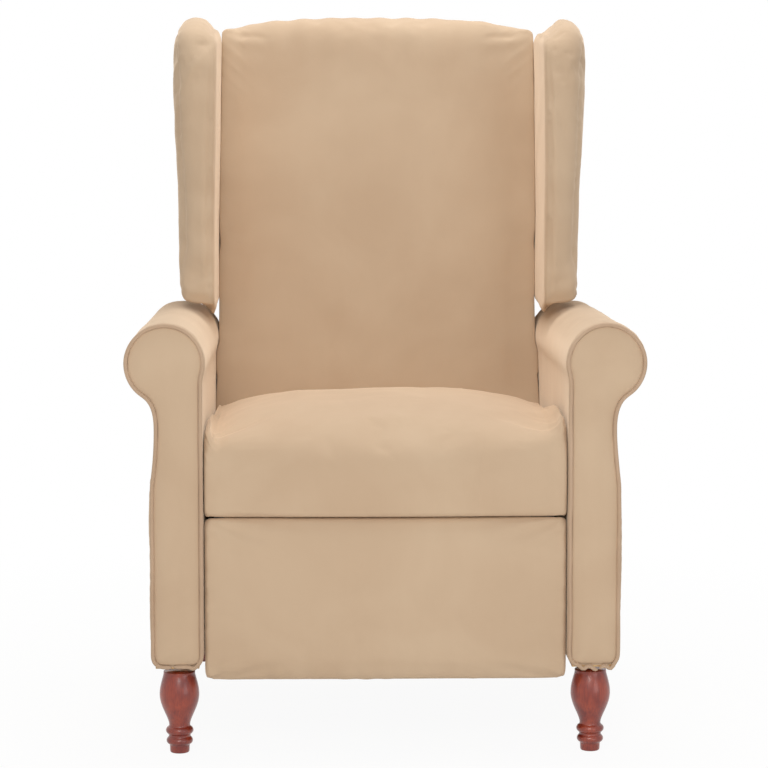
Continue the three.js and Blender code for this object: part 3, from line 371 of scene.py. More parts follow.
for side in SIDES:
    for part in ("base_plate", "seat_plate", "back_bracket", "drive_link", "main_link", "carrier_link",
                 "tip_link", "footrest_bracket"):
        dress(f"{side}_{part}", black_steel, STEEL_BREAK)
    dress(f"{side}_rear_leg", lacquered, WOOD_BREAK * 2)
    dress(f"{side}_arm_side_board", plywood, 0)
    dress(f"{side}_arm_roll_core", fibreboard, 0)
    dress(f"{side}_arm_bottom_board", pine_along, WOOD_BREAK)
    dress(f"{side}_seat_side_rail", pine_along, WOOD_BREAK)
    dress(f"{side}_back_post", pine_upright, WOOD_BREAK)
    dress(f"{side}_wing_board", plywood, 0)
dress("torsion_shaft", black_steel, STEEL_BREAK)
dress("footrest_board", plywood, WOOD_BREAK / 2)
for part in ("front_cross_rail", "seat_front_rail", "seat_rear_rail", "back_head_rail", "back_lower_rail"):
    dress(part, pine_across, WOOD_BREAK)
for number in (1, 2, 3, 4):
    dress(f"seat_spring_{number}", oiled_wire, 0)
for number in (1, 2, 3):
    dress(f"back_web_{number}", webbing, 0)


# %% [markdown]
# ## Light, floor and background
#
# A catalogue photograph is lit by large soft boxes in a white room. The shading on the chair says where
# they hang: the tops of the arms and of the seat are brightest, so the strongest one is overhead, and the
# fronts are evenly lit, so the key lamp stands high in front of the chair, only a little to the left, with
# a weak, low fill on the right. The floor is plain and pale and keeps the chair's shadow, thinned by a veil
# of white. Away from the chair it turns into the white of the background. Both are only for the rays that
# the eye follows, so they add no light of their own.


# %% Lamps
def soft_box(name, place, target, size, power, tint):
    data = bpy.data.lights.new(name, "AREA")
    data.shape = "DISK"
    data.size = size
    data.energy = power
    data.color = linear(tint)[:3]
    lamp = bpy.data.objects.new(name, data)
    scene.collection.objects.link(lamp)
    lamp.location = place
    lamp.rotation_euler = (Vector(target) - Vector(place)).to_track_quat("-Z", "Y").to_euler()


soft_box("key_soft_box", (-0.3, -3.1, 1.8), (0, 0, 0.6), 1.5, 38, "#fffdfa")
soft_box("fill_soft_box", (1.4, -2.4, 0.3), (0.1, 0, 0.4), 1.2, 7, "#f8fbff")
soft_box("top_soft_box", (0.1, 0.5, 2.9), (0, -0.1, 0.4), 1.8, 48, "#ffffff")


# %% World and floor
def seen_directly(tree):
    """1 for rays that show the background to the eye, straight on or in a gloss, and 0 for the others."""
    path = add_node(tree, "ShaderNodeLightPath").outputs
    shown = add_node(tree, "ShaderNodeMath", {
        0: path["Is Camera Ray"], 1: path["Is Glossy Ray"],
    }, operation="MAXIMUM")
    return add_node(tree, "ShaderNodeMath", {
        0: shown.outputs[0], 1: path["Is Transmission Ray"],
    }, operation="MAXIMUM").outputs[0]


ROOM_LIGHT = 0.4
FLOOR_NEAR = 0.75  # metres from the chair's middle
FLOOR_FAR = 1.6
FLOOR_RADIUS = 12
FLOOR_VEIL = 0.94  # share of white that lies over the floor's own shade near the chair

world = bpy.data.worlds.new("white_room")
world.use_nodes = True
world.node_tree.nodes.clear()
room = add_node(world.node_tree, "ShaderNodeBackground", {"Color": (1, 1, 1, 1), "Strength": ROOM_LIGHT})
white = add_node(world.node_tree, "ShaderNodeBackground", {"Color": (1, 1, 1, 1), "Strength": 1.0})
blend = add_node(world.node_tree, "ShaderNodeMixShader", {
    0: seen_directly(world.node_tree), 1: room.outputs[0], 2: white.outputs[0],
})
add_node(world.node_tree, "ShaderNodeOutputWorld", {"Surface": blend.outputs[0]})
scene.world = world

floor_material, floor_tree, floor_shader, floor_place = start_material("pale_studio_floor")
set_inputs(floor_tree, floor_shader, {
    "Base Color": linear("#f4f3f1"), "Roughness": 0.9, "Specular IOR Level": 0.1,
})
away = add_node(floor_tree, "ShaderNodeVectorMath", {0: floor_place}, operation="LENGTH").outputs["Value"]
reach = add_node(floor_tree, "ShaderNodeMapRange", {
    "Value": away, "From Min": FLOOR_NEAR, "From Max": FLOOR_FAR,
}, interpolation_type="SMOOTHSTEP").outputs["Result"]
veil = ramp(floor_tree, reach, 0, 1, FLOOR_VEIL)
share = add_node(floor_tree, "ShaderNodeMath", {0: veil, 1: seen_directly(floor_tree)}, operation="MULTIPLY")
glow = add_node(floor_tree, "ShaderNodeEmission", {"Color": (1, 1, 1, 1), "Strength": 1.0})
mixed = add_node(floor_tree, "ShaderNodeMixShader", {
    0: share.outputs[0], 1: floor_shader.outputs[0], 2: glow.outputs[0],
})
floor_out = next(node for node in floor_tree.nodes if node.type == "OUTPUT_MATERIAL")
floor_tree.links.new(mixed.outputs[0], floor_out.inputs["Surface"])

floor_mesh = bpy.data.meshes.new("studio_floor")
disc = bmesh.new()
bmesh.ops.create_circle(disc, cap_ends=True, segments=96, radius=FLOOR_RADIUS)
disc.to_mesh(floor_mesh)
disc.free()
floor_mesh.materials.append(floor_material)
studio_floor = bpy.data.objects.new("studio_floor", floor_mesh)
scene.collection.objects.link(studio_floor)
print("floor radius", FLOOR_RADIUS, "m, white from", FLOOR_FAR, "m")

# %% [markdown]
# ## Tools for sewn covers
#
# A cover is a closed sheet over foam. It can start as a loft, which is a row of closed outlines joined by
# quads, or as a CAD solid cut up into an even, fine mesh by a voxel remesh. After that, whole arrays of
# points are moved with numpy, which is quick and reads like a formula: a few sine waves for unevenness, a
# fading ripple beside a seam for its gathers, and a narrow valley for a crease.


# %% Meshes and arrays
def new_piece(name, points, faces, material):
    mesh = bpy.data.meshes.new(name)
    mesh.from_pydata([tuple(point) for point in points], [], faces)
    mesh.materials.append(material)
    piece = bpy.data.objects.new(name, mesh)
    scene.collection.objects.link(piece)
    smooth_shaded(piece)
    return piece


def smooth_shaded(piece):
    piece.data.polygons.foreach_set("use_smooth", [True] * len(piece.data.polygons))
    piece.data.update()


def quads(rows, count, closed):
    """Faces between rows of count points each, which go all the way round where they are closed."""
    return [
        (row * count + place, row * count + (place + 1) % count,
         (row + 1) * count + (place + 1) % count, (row + 1) * count + place)
        for row in range(rows - 1) for place in range(count if closed else count - 1)
    ]


def face_outwards(piece):
    shell = bmesh.new()
    shell.from_mesh(piece.data)
    bmesh.ops.recalc_face_normals(shell, faces=shell.faces)
    shell.to_mesh(piece.data)
    shell.free()


def loft(name, rings, material):
    """Joins closed rings of equally many points by quads, with a face over each end."""
    count = len(rings[0])
    points = [point for ring in rings for point in ring]
    ends = [tuple(reversed(range(count))), tuple(range((len(rings) - 1) * count, len(rings) * count))]
    piece = new_piece(name, points, quads(len(rings), count, True) + ends, material)
    face_outwards(piece)
    return piece


def per_point(piece, what):
    found = np.empty(len(piece.data.vertices) * 3)
    piece.data.vertices.foreach_get(what, found)
    return found.reshape(-1, 3)


def points_of(piece):
    return per_point(piece, "co")


def normals_of(piece):
    return per_point(piece, "normal")


def move_points(piece, points):
    piece.data.vertices.foreach_set("co", np.ascontiguousarray(points).ravel())
    piece.data.update()


def push(piece, amounts):
    """Moves each point along its own normal."""
    move_points(piece, points_of(piece) + normals_of(piece) * np.asarray(amounts)[:, None])


def take_place(piece, node_name, body):
    """Puts a piece in the place of its CAD node, on the body that it rides on."""
    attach(piece, body)
    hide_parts(node_name)


def upholster(piece, node_name, body):
    """Does the same for a padded cover."""
    take_place(piece, node_name, body)


def report(what, *pieces):
    """Prints how fine finished pieces are."""
    print(what + ":", *[len(piece.data.polygons) for piece in pieces], "faces")


# %% Modifiers made real
def settle(piece):
    """Turns what the modifiers show into the mesh itself."""
    shown = piece.evaluated_get(bpy.context.evaluated_depsgraph_get())
    mesh = bpy.data.meshes.new_from_object(shown)
    piece.modifiers.clear()
    piece.data = mesh
    smooth_shaded(piece)


def remesh(piece, voxel):
    evened = piece.modifiers.new("even_mesh", "REMESH")
    evened.mode = "VOXEL"
    evened.voxel_size = voxel
    settle(piece)


def relax(piece, times):
    soft = piece.modifiers.new("relax", "SMOOTH")
    soft.factor = 0.5
    soft.iterations = times
    settle(piece)


def subdivide(piece):
    finer = piece.modifiers.new("finer", "SUBSURF")
    finer.levels = 1
    settle(piece)


def from_node(name, node_name, material, voxel, turned=None):
    """A CAD solid's own shape as an even, fine mesh in a new piece, whose grid follows turned axes."""
    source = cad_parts[node_name]
    piece = bpy.data.objects.new(name, source.data.copy())
    scene.collection.objects.link(piece)
    piece.data.materials.clear()
    piece.data.materials.append(material)
    if turned:
        move_points(piece, turned(points_of(piece)))
    remesh(piece, voxel)
    return piece


# %% Formulas for cloth
HUMP_WAVES = 9
GATHER_WAVES = 5
GATHER_HEIGHT = 2.6  # of that many waves together


def fade(values, start, end):
    """0 before start, 1 after end, and a soft S between them."""
    share = np.clip((np.asarray(values) - start) / (end - start), 0, 1)
    return share * share * (3 - 2 * share)


def uneven(points, size, seed):
    """Smooth unevenness, about -1 to 1, whose humps are about size apart."""
    chance = np.random.default_rng(seed)
    total = np.zeros(len(points))
    for _ in range(HUMP_WAVES):
        direction = chance.normal(size=3)
        direction /= np.linalg.norm(direction)
        pitch = size * chance.uniform(0.7, 1.6)
        total += np.sin(points @ direction * (2 * math.pi / pitch) + chance.uniform(0, 2 * math.pi))
    return total / (HUMP_WAVES / 2)


def billows(points, *layers):
    """Unevenness in metres: a layer is the size of its humps in metres, their height in mm and a seed."""
    return sum(uneven(points, size, seed) * height * MM for size, height, seed in layers)


def gathers(along, distance, spacing, reach, seed):
    """Ripples across a seam, from -1 to 1: along runs with the seam, and distance is from it."""
    chance = np.random.default_rng(seed)
    total = np.zeros(len(along))
    for _ in range(GATHER_WAVES):
        pitch = spacing * chance.uniform(0.6, 1.7)
        total += np.sin(along * (2 * math.pi / pitch) + chance.uniform(0, 2 * math.pi))
    return total / GATHER_HEIGHT * np.exp(-np.abs(distance) / reach)


def valley(distance, width):
    """1 in the middle of a groove, 0 beyond its width."""
    return np.clip(1 - np.abs(distance) / width, 0, 1) ** 1.5


def round_off(across, edge, radius):
    """How far a round corner falls away, as a share of its radius: 0 before it and 1 at the edge."""
    return 1 - np.sqrt(1 - np.clip((across - (edge - radius)) / radius, 0, 1) ** 2)


def firm_edge(across, wide, softness):
    """Keeps places within wide on both sides of 0, with a short soft bend."""
    over = np.maximum(0, np.abs(across) - (wide - softness))
    kept = np.minimum(np.abs(across), wide - softness)
    return np.sign(across) * (kept + softness * np.tanh(over / softness))


# %% [markdown]
# ## Air in a cover
#
# A sewn cover looks filled because the foam presses outwards while its seams hold it. Blender's Cloth can
# do just that: pressure inside, no gravity, and the points beside the seams held. Twenty frames are
# enough. The distance that a point may go is capped, because real foam resists, and then the result is
# applied, so the piece stays an ordinary mesh that can ride on the chair's joints.

# %% Cloth with pressure
SIM_FRAMES = 20
HOLD_BEND = 1 * MM
COVER_CLOTH = {
    "quality": 5, "mass": 0.4, "tension_stiffness": 22, "compression_stiffness": 22, "shear_stiffness": 12,
    "bending_stiffness": 1.2, "air_damping": 2, "use_pressure": True, "vertex_group_mass": "held",
}


def plump(piece, held, cap, pressure=4.0):
    """Blows a cover up a little, with the held points left where they are."""
    start = points_of(piece)
    group = piece.vertex_groups.new(name="held")
    group.add([int(index) for index in np.flatnonzero(held)], 1.0, "REPLACE")
    cover = piece.modifiers.new("cover", "CLOTH")
    for name, value in COVER_CLOTH.items():
        setattr(cover.settings, name, value)
    cover.settings.uniform_pressure_force = pressure
    cover.settings.effector_weights.gravity = 0
    cover.point_cache.frame_start = 1
    cover.point_cache.frame_end = SIM_FRAMES
    for number in range(1, SIM_FRAMES + 1):
        scene.frame_set(number)
    settle(piece)
    piece.vertex_groups.clear()
    scene.frame_set(1)
    moved = points_of(piece) - start
    length = np.linalg.norm(moved, axis=1)
    moved *= (cap * np.tanh(length / cap) / np.maximum(length, 1e-9))[:, None]
    move_points(piece, start + moved)
    print(piece.name, "swelled by up to", round(float(np.linalg.norm(moved, axis=1).max()) / MM, 1), "mm")


def hold_between(piece, low, high):
    """Presses a soft piece flat against what stands at its left and right."""
    points = points_of(piece)
    middle = (low + high) / 2
    points[:, 0] = middle + firm_edge(points[:, 0] - middle, (high - low) / 2, HOLD_BEND)
    move_points(piece, points)


# %% [markdown]
# ## The arms
#
# Each arm is a board, a half-round roll and padding, wrapped in one cover that is tucked under the roll
# and closed in front by a piped panel. The cover could be inflated like a cushion, but a real one is
# pulled tight over its frame, so a loft of the arm's outline is closer. The outline is read off the CAD
# panel by a cut, so that the cover and the panel agree. Behind the wing the roll slopes down.


# %% The arm's outline
def cut_loops(node_name, y):
    """The closed loops, as lists of (x, z), where an upright plane at y cuts a CAD node."""
    cut = bmesh.new()
    cut.from_mesh(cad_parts[node_name].data)
    bmesh.ops.remove_doubles(cut, verts=cut.verts, dist=1e-6)
    everything = cut.verts[:] + cut.edges[:] + cut.faces[:]
    found = bmesh.ops.bisect_plane(cut, geom=everything, plane_co=(0, y, 0), plane_no=(0, 1, 0))
    edges = {edge for edge in found["geom_cut"] if isinstance(edge, bmesh.types.BMEdge)}
    loops = []
    while edges:
        first = min(edges, key=lambda edge: edge.index)
        edges.discard(first)
        loop = [first.verts[0], first.verts[1]]
        following = next((edge for edge in loop[-1].link_edges if edge in edges), None)
        while following is not None:
            edges.discard(following)
            loop.append(following.other_vert(loop[-1]))
            following = next((edge for edge in loop[-1].link_edges if edge in edges), None)
        loops.append([(vert.co.x, vert.co.z) for vert in loop[:-1]])
    cut.free()
    return loops


def even_loop(loop, spacing, rounds):
    """The same closed outline, counter-clockwise, evenly spaced and with its facets smoothed."""
    points = np.array(loop)
    following = np.roll(points, -1, axis=0)
    if np.sum(points[:, 0] * following[:, 1] - following[:, 0] * points[:, 1]) < 0:
        points = points[::-1]
    closed = np.vstack([points, points[:1]])
    run = np.concatenate([[0], np.cumsum(np.linalg.norm(np.diff(closed, axis=0), axis=1))])
    at = np.linspace(0, run[-1], round(run[-1] / spacing), endpoint=False)
    result = np.column_stack([np.interp(at, run, closed[:, axis]) for axis in (0, 1)])
    for _ in range(rounds):
        result = (np.roll(result, 1, axis=0) + 2 * result + np.roll(result, -1, axis=0)) / 4
    return result


def outward(loop):
    """The outward direction at each point of a counter-clockwise loop."""
    along = np.roll(loop, -1, axis=0) - np.roll(loop, 1, axis=0)
    turned = np.column_stack([along[:, 1], -along[:, 0]])
    return turned / np.linalg.norm(turned, axis=1)[:, None]


PANEL_INSET = 7.5 * MM  # of the CAD panel from the arm's outline
panel_low, panel_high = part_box("right_arm_front_panel")
panel_middle = (panel_low.y + panel_high.y) / 2
panel_loop = even_loop(cut_loops("right_arm_front_panel", panel_middle)[0], 3.6 * MM, 3)
arm_loop = panel_loop + outward(panel_loop) * PANEL_INSET
print("arm outline:", len(arm_loop), "points from", np.round(arm_loop.min(axis=0), 4),
      "to", np.round(arm_loop.max(axis=0), 4))


# %% The arm's cover
ARM_SLOPE = (  # (y, z) behind the wing
    (arm_high.y - 0.188, arm_high.z), (arm_high.y - 0.1316, arm_high.z), (arm_high.y, arm_low.z + 0.356),
)
ARM_NECK = arm_low.z + 0.3315  # the cover is tucked in under the roll here
ARM_PITCH = 6.5 * MM
ARM_REAR_ROUND = 12 * MM
ARM_FRONT_ROUND = 3.5 * MM
ARM_OUTER_SIDE = 0.305  # across, where the outer side begins
ARM_INNER_SIDE = 0.2535  # across, where the inner side ends, which stands against the seat
BOARD_ACROSS = (0.2525, 0.3165)
BOARD_CLEARANCE = 1.2 * MM  # the cover's lower face is this far above the board's


def arm_top(y):
    """Height of the arm's top at y: level, then sloping down behind the wing."""
    share = np.linspace(0, 1, 40)
    weights = ((1 - share) ** 2, 2 * share * (1 - share), share ** 2)
    run, height = (sum(weight * point[axis] for weight, point in zip(weights, ARM_SLOPE))
                   for axis in (0, 1))
    return np.interp(y, run, height)


def round_stations(start, end, pitch, start_round, end_round):
    """Places along a length, and how far the outline is drawn in there, for rounded ends."""
    turns = np.linspace(0, math.pi / 2, 6)[:-1]
    bends = [(1 - math.sin(math.pi / 2 - turn), 1 - math.cos(math.pi / 2 - turn)) for turn in turns]
    front = [(start + start_round * ahead, start_round * inset) for ahead, inset in bends]
    rear = [(end - end_round * ahead, end_round * inset) for ahead, inset in bends]
    count = round((end - end_round - start - start_round) / pitch)
    level = [(place, 0.0) for place in np.linspace(start + start_round, end - end_round, count)]
    return front + level + rear[::-1]


def arm_cover(side, sign):
    rings, along, around = [], [], []
    step = np.linalg.norm(arm_loop[1] - arm_loop[0])
    for y, inset in round_stations(arm_low.y, arm_high.y, ARM_PITCH, ARM_FRONT_ROUND, ARM_REAR_ROUND):
        ring = arm_loop - outward(arm_loop) * inset
        ring[:, 1] = np.minimum(ring[:, 1], arm_top(y) - inset)
        low = ring[:, 1] < arm_low.z + 0.5 * MM
        low &= (ring[:, 0] > BOARD_ACROSS[0]) & (ring[:, 0] < BOARD_ACROSS[1])
        ring[low, 1] += BOARD_CLEARANCE
        rings.append([(sign * x, y, z) for x, z in ring])
        along.extend([y] * len(ring))
        around.extend(np.arange(len(ring)) * step)
    piece = loft(f"{side}_arm_cover_sewn", rings, microfibre)
    along, around = np.array(along), np.array(around)
    seed = 11 if sign > 0 else 12
    points = points_of(piece)
    outer = sign * points[:, 0] > ARM_OUTER_SIDE
    rise = points[:, 2] - arm_low.z
    above_board = fade(rise, 4 * MM, 26 * MM)
    sag = billows(points, (0.14, 1.1, seed), (0.05, 0.35, seed + 2))
    tuck = points[:, 2] - ARM_NECK - 3 * MM
    seam = -valley(tuck, 7 * MM) * 3.2 * MM * outer
    pulls = gathers(along, tuck, 34 * MM, 30 * MM, seed + 4) * 0.9 * MM * outer
    wrap = gathers(around, along - arm_low.y, 26 * MM, 22 * MM, seed + 6) * 0.35 * MM
    belly = outer * fade(rise, 16 * MM, 0.146) * (1 - fade(rise, 0.186, 0.316)) * 2.0 * MM
    inner_hold = np.where(sign * points[:, 0] < ARM_INNER_SIDE, 0.25, 1)
    ends = fade(along, arm_low.y, arm_low.y + 8 * MM) * (1 - fade(along, arm_high.y - 20 * MM, arm_high.y))
    folds = (sag + pulls + belly) * ends + seam * ends + wrap * fade(along, arm_low.y, arm_low.y + 3 * MM)
    push(piece, folds * above_board * inner_hold)
    upholster(piece, f"{side}_arm_cover", "base")
    return piece


report("arm covers", *[arm_cover(side, sign) for side, sign in SIDES.items()])

# %% [markdown]
# ## Front panels and piping
#
# A thin padded panel closes the front of each arm, and a welt, a cord in a strip of the same cloth, runs
# round it. The panel is an even mesh of the outline whose front is raised by its distance from the seam,
# so it swells quickly beside the welt and is nearly flat in the middle. The welt is a tube along the
# outline. Sewn piping never runs quite true, so its path wanders by half a millimetre, and under the
# right arm, as in the photograph, a few centimetres of it have come loose and hang in waves.

# %% Front panels
PANEL_TUCK = 4.2 * MM  # of the visible panel's edge from the arm's outline, below the welt
PANEL_SEAM_Y = panel_high.y - 1.4 * MM
PANEL_CROWN = 6.5 * MM
PANEL_RISE = 30 * MM
PANEL_REAR = panel_high.y - 2.5 * MM  # the visible panel's front lies ahead of this


def seam_distance(points, loop):
    """Distance of points from a closed outline, both as (x, z)."""
    start = loop
    along = np.roll(loop, -1, axis=0) - start
    best = np.full(len(points), 1e9)
    for origin, step in zip(start, along):
        reach = points - origin
        share = np.clip(reach @ step / (step @ step), 0, 1)
        best = np.minimum(best, np.linalg.norm(reach - share[:, None] * step, axis=1))
    return best


def arm_panel(side, sign):
    edge = arm_loop - outward(arm_loop) * PANEL_TUCK
    rings = [[(sign * x, y, z) for x, z in edge] for y in (PANEL_SEAM_Y - 4 * MM, panel_high.y)]
    piece = loft(f"{side}_arm_front_panel_sewn", rings, microfibre)
    remesh(piece, 2.9 * MM)
    points = points_of(piece)
    mirrored = np.column_stack([sign * points[:, 0], points[:, 2]])
    distance = seam_distance(mirrored, edge)
    swell = 1 - (1 - np.clip(distance / PANEL_RISE, 0, 1)) ** 2.4
    seed = 31 if sign > 0 else 32
    loose = billows(points, (0.13, 0.9, seed), (0.045, 0.3, seed + 2))
    puckers = gathers(points[:, 2] + points[:, 0], distance, 15 * MM, 9 * MM, seed + 4) * 0.4 * MM
    front = points[:, 1] < PANEL_REAR
    rise = PANEL_CROWN * swell + (loose + puckers) * fade(distance, 0, 8 * MM)
    points[front, 1] = (PANEL_SEAM_Y - rise)[front]
    move_points(piece, points)
    relax(piece, 3)
    upholster(piece, f"{side}_arm_front_panel", "base")
    return piece


report("front panels", *[arm_panel(side, sign) for side, sign in SIDES.items()])


# %% Piping
def tube(name, path, radius, material, sides=10):
    """A tube along an open path, with its ends drawn shut."""
    path = np.asarray(path)
    along = np.gradient(path, axis=0)
    along /= np.linalg.norm(along, axis=1)[:, None]
    across = np.cross(along, (0, 1, 0))
    across /= np.linalg.norm(across, axis=1)[:, None]
    lift = np.cross(across, along)
    turns = np.arange(sides) * 2 * math.pi / sides
    circle = (np.cos(turns)[None, :, None] * across[:, None, :]
              + np.sin(turns)[None, :, None] * lift[:, None, :])
    thickness = np.full(len(path), radius)
    thickness[[0, -1]] = radius * 0.35
    thickness[[1, -2]] = radius * 0.8
    rings = path[:, None, :] + circle * thickness[:, None, None]
    return loft(name, rings.tolist(), material)


WELT_RADIUS = 2.7 * MM
WELT_Y = panel_high.y - 2.9 * MM
WELT_STEP = 2.6 * MM
WELT_JOIN = 0.292  # across, where its ends meet below the arm
WELT_FOLD = 0.262  # across, of the left welt's fold and of the start of the right one's loose stretch
WELT_WAVE = 0.021  # length of the loose stretch's waves


def arm_piping(side, sign):
    path_2d = even_loop(arm_loop - outward(arm_loop) * WELT_RADIUS, WELT_STEP, 1)
    bottom = np.argmin(np.hypot(path_2d[:, 0] - WELT_JOIN, path_2d[:, 1] - path_2d[:, 1].min()))
    path_2d = np.roll(path_2d, -int(bottom), axis=0)
    count = len(path_2d)
    run = np.arange(count) * WELT_STEP
    path = np.column_stack([path_2d[:, 0], np.full(count, WELT_Y), path_2d[:, 1]])
    spread = np.column_stack([run, np.zeros(count), np.zeros(count)])
    seed = 41 if sign > 0 else 42
    path[:, 1] += uneven(spread, 0.08, seed) * 0.5 * MM
    sideways = uneven(spread, 0.07, seed + 2) * 0.45 * MM
    path[:, 0] += outward(path_2d)[:, 0] * sideways
    path[:, 2] += outward(path_2d)[:, 1] * sideways
    x, low = path[:, 0].copy(), path[:, 2] < path[:, 2].min() + 12 * MM
    if sign > 0:
        loose = fade(x, WELT_FOLD, 0.272) * (1 - fade(x, 0.306, 0.316)) * low
        path[:, 2] -= loose * (3.4 * MM + 2.6 * MM * np.sin((x - WELT_FOLD) * 2 * math.pi / WELT_WAVE))
        path[:, 1] -= loose * 1.2 * MM
    else:
        fold = np.exp(-((x - WELT_FOLD) / 0.0045) ** 2) * low
        path[:, 2] -= fold * 2.8 * MM
        path[:, 1] -= fold * 1.5 * MM
    path[:, 0] *= sign
    piece = tube(f"{side}_arm_piping_sewn", path, WELT_RADIUS, piping_microfibre)
    take_place(piece, f"{side}_arm_piping", "base")
    return piece


report("piping", *[arm_piping(side, sign) for side, sign in SIDES.items()])

# %% [markdown]
# ## The seat cushion
#
# One thick block of foam with a rounded front edge. Its front border hangs down to the seat rail and ends
# in a seam, its top is crowned, and its sides are pressed flat between the arms. The even mesh of the CAD
# solid is drawn in a little and then blown up again by the cloth, with everything held that lies against
# the springs, the back or an arm. Puckers at the front corners and one faint upright crease come last,
# because they are finer than the mesh that the cloth needs.

# %% Seat cushion, filled
seat_low, seat_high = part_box("seat_cushion")
SEAT_DRAWN_IN = 4 * MM
SEAT_CAP = 12 * MM

seat_cover = from_node("seat_cushion_sewn", "seat_cushion", microfibre, 6 * MM)
relax(seat_cover, 3)
points, normals = points_of(seat_cover), normals_of(seat_cover)
free = fade(normals[:, 2] - normals[:, 1], 0.2, 0.7) * (1 - fade(np.abs(points[:, 0]), 0.225, 0.242))
free *= fade(points[:, 2], seat_low.z + 4 * MM, seat_low.z + 30 * MM)
free *= 1 - fade(points[:, 1], seat_high.y - 60 * MM, seat_high.y - 20 * MM)
push(seat_cover, -SEAT_DRAWN_IN * free)
plump(seat_cover, free < 0.02, SEAT_CAP)
subdivide(seat_cover)

# %% Seat cushion, its folds
SEAT_CORNER = (0.2465, seat_low.z + 0.107)  # the front's upper corners, across and up
SEAT_CREASE = 0.124  # across, at the lower edge
SEAT_CREASE_LEAN = 0.06

points, normals = points_of(seat_cover), normals_of(seat_cover)
across, rise = np.abs(points[:, 0]), points[:, 2] - seat_low.z
left = points[:, 0] < 0
front = fade(-normals[:, 1], 0.2, 0.8)
side_gap = seat_high.x - across
corner = np.hypot(np.maximum(0, SEAT_CORNER[0] - across), points[:, 2] - SEAT_CORNER[1])
swell = billows(points, (0.17, 1.6, 51), (0.06, 0.5, 52))
crease = -valley(points[:, 0] - SEAT_CREASE - rise * SEAT_CREASE_LEAN, 7 * MM) * 0.9 * MM * front
corner_puckers = gathers(points[:, 2] + points[:, 0] * 0.5, side_gap, 7 * MM, 14 * MM, 53)
corner_puckers *= np.where(left, 1.5, 0.7) * MM * np.exp(-(corner / 0.035) ** 2)
edge_puckers = gathers(points[:, 2], side_gap, 15 * MM, 8 * MM, 54) * np.where(left, 0.9, 0.5) * MM * front
seam_puckers = gathers(points[:, 0], rise, 24 * MM, 16 * MM, 55) * 0.5 * MM * front
free = fade(normals[:, 2] - normals[:, 1], 0.1, 0.5)
push(seat_cover, (swell + crease + corner_puckers + edge_puckers + seam_puckers) * free)

# %% Seat cushion, its crown and corners
SEAT_LIP_LOWER = 1.9 * MM
SEAT_LIP_REAR = seat_low.y + 29 * MM
SEAT_CROWN_ACROSS = [0, 60, 120, 170, 200, 225, 247]  # mm from the middle
SEAT_CROWN_LIFT = [6, 7, 12, 11, 11, 13, 14]  # mm by which the foam stands over the drawn crown there
SEAT_SHOULDER_ACROSS = [190, 214, 225, 235, 241, 248]  # and the same for its upper corners
SEAT_SHOULDER_LIFT = {"left": [0, 0, 0, 4, 19, 28], "right": [0, 4, 9, 19, 32, 38]}
SEAT_EDGE_FORWARD = 7 * MM
SEAT_EDGE_ROUND = 16 * MM

points = points_of(seat_cover)
across = np.abs(points[:, 0])
corner = fade(across, seat_high.x - 10 * MM, seat_high.x)
lowered = SEAT_LIP_LOWER * (1 + 1.2 * corner) * (1 - fade(points[:, 2], seat_low.z, seat_low.z + 20 * MM))
points[:, 2] -= lowered * (points[:, 1] < SEAT_LIP_REAR)
crown = np.interp(across, np.array(SEAT_CROWN_ACROSS) * MM, SEAT_CROWN_LIFT) * MM
crown *= fade(points[:, 2], seat_low.z + 0.085, seat_low.z + 0.125)
rear_end = 1 - fade(points[:, 1], 0.0, 0.06)
points[:, 2] += crown * fade(points[:, 1], -0.40, -0.28) * rear_end
shoulders = [np.interp(across, np.array(SEAT_SHOULDER_ACROSS) * MM, SEAT_SHOULDER_LIFT[side])
             for side in SIDES]
shoulder_lift = np.where(points[:, 0] < 0, *shoulders) * MM
shoulder_lift *= fade(points[:, 2], seat_low.z + 0.03, seat_low.z + 0.10)
points[:, 2] += shoulder_lift * rear_end * (1 - 0.6 * fade(points[:, 1], -0.3, -0.1))
rounded = round_off(across, seat_high.x, SEAT_EDGE_ROUND)
rounded *= 1 - fade(points[:, 1], seat_low.y, seat_low.y + 30 * MM)
rounded *= 1 - fade(points[:, 2], seat_low.z + 0.07, seat_low.z + 0.11)
points[:, 1] -= SEAT_EDGE_FORWARD * rounded
move_points(seat_cover, points)
hold_between(seat_cover, seat_low.x - 0.7 * MM, seat_high.x + 0.7 * MM)
upholster(seat_cover, "seat_cushion", "seat")
report("seat cushion", seat_cover)

# %% [markdown]
# ## The footrest pad
#
# The footrest is a board with a flat pad, covered in the same cloth and hung below the seat when it is
# closed. It is made like the seat, with less air: it swells a little in front, its rear lies flat on the
# board, and its lower corners are round.

# %% Footrest pad
pad_low, pad_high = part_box("footrest_pad")
PAD_CORNER = 18 * MM
PAD_EDGE_FORWARD = 4 * MM
PAD_CORNER_FALL = 8 * MM  # by which the CAD pad's corners fall away, and the real pad's don't
PAD_HIGHER = 2.4 * MM
PAD_LOWER = 2.5 * MM

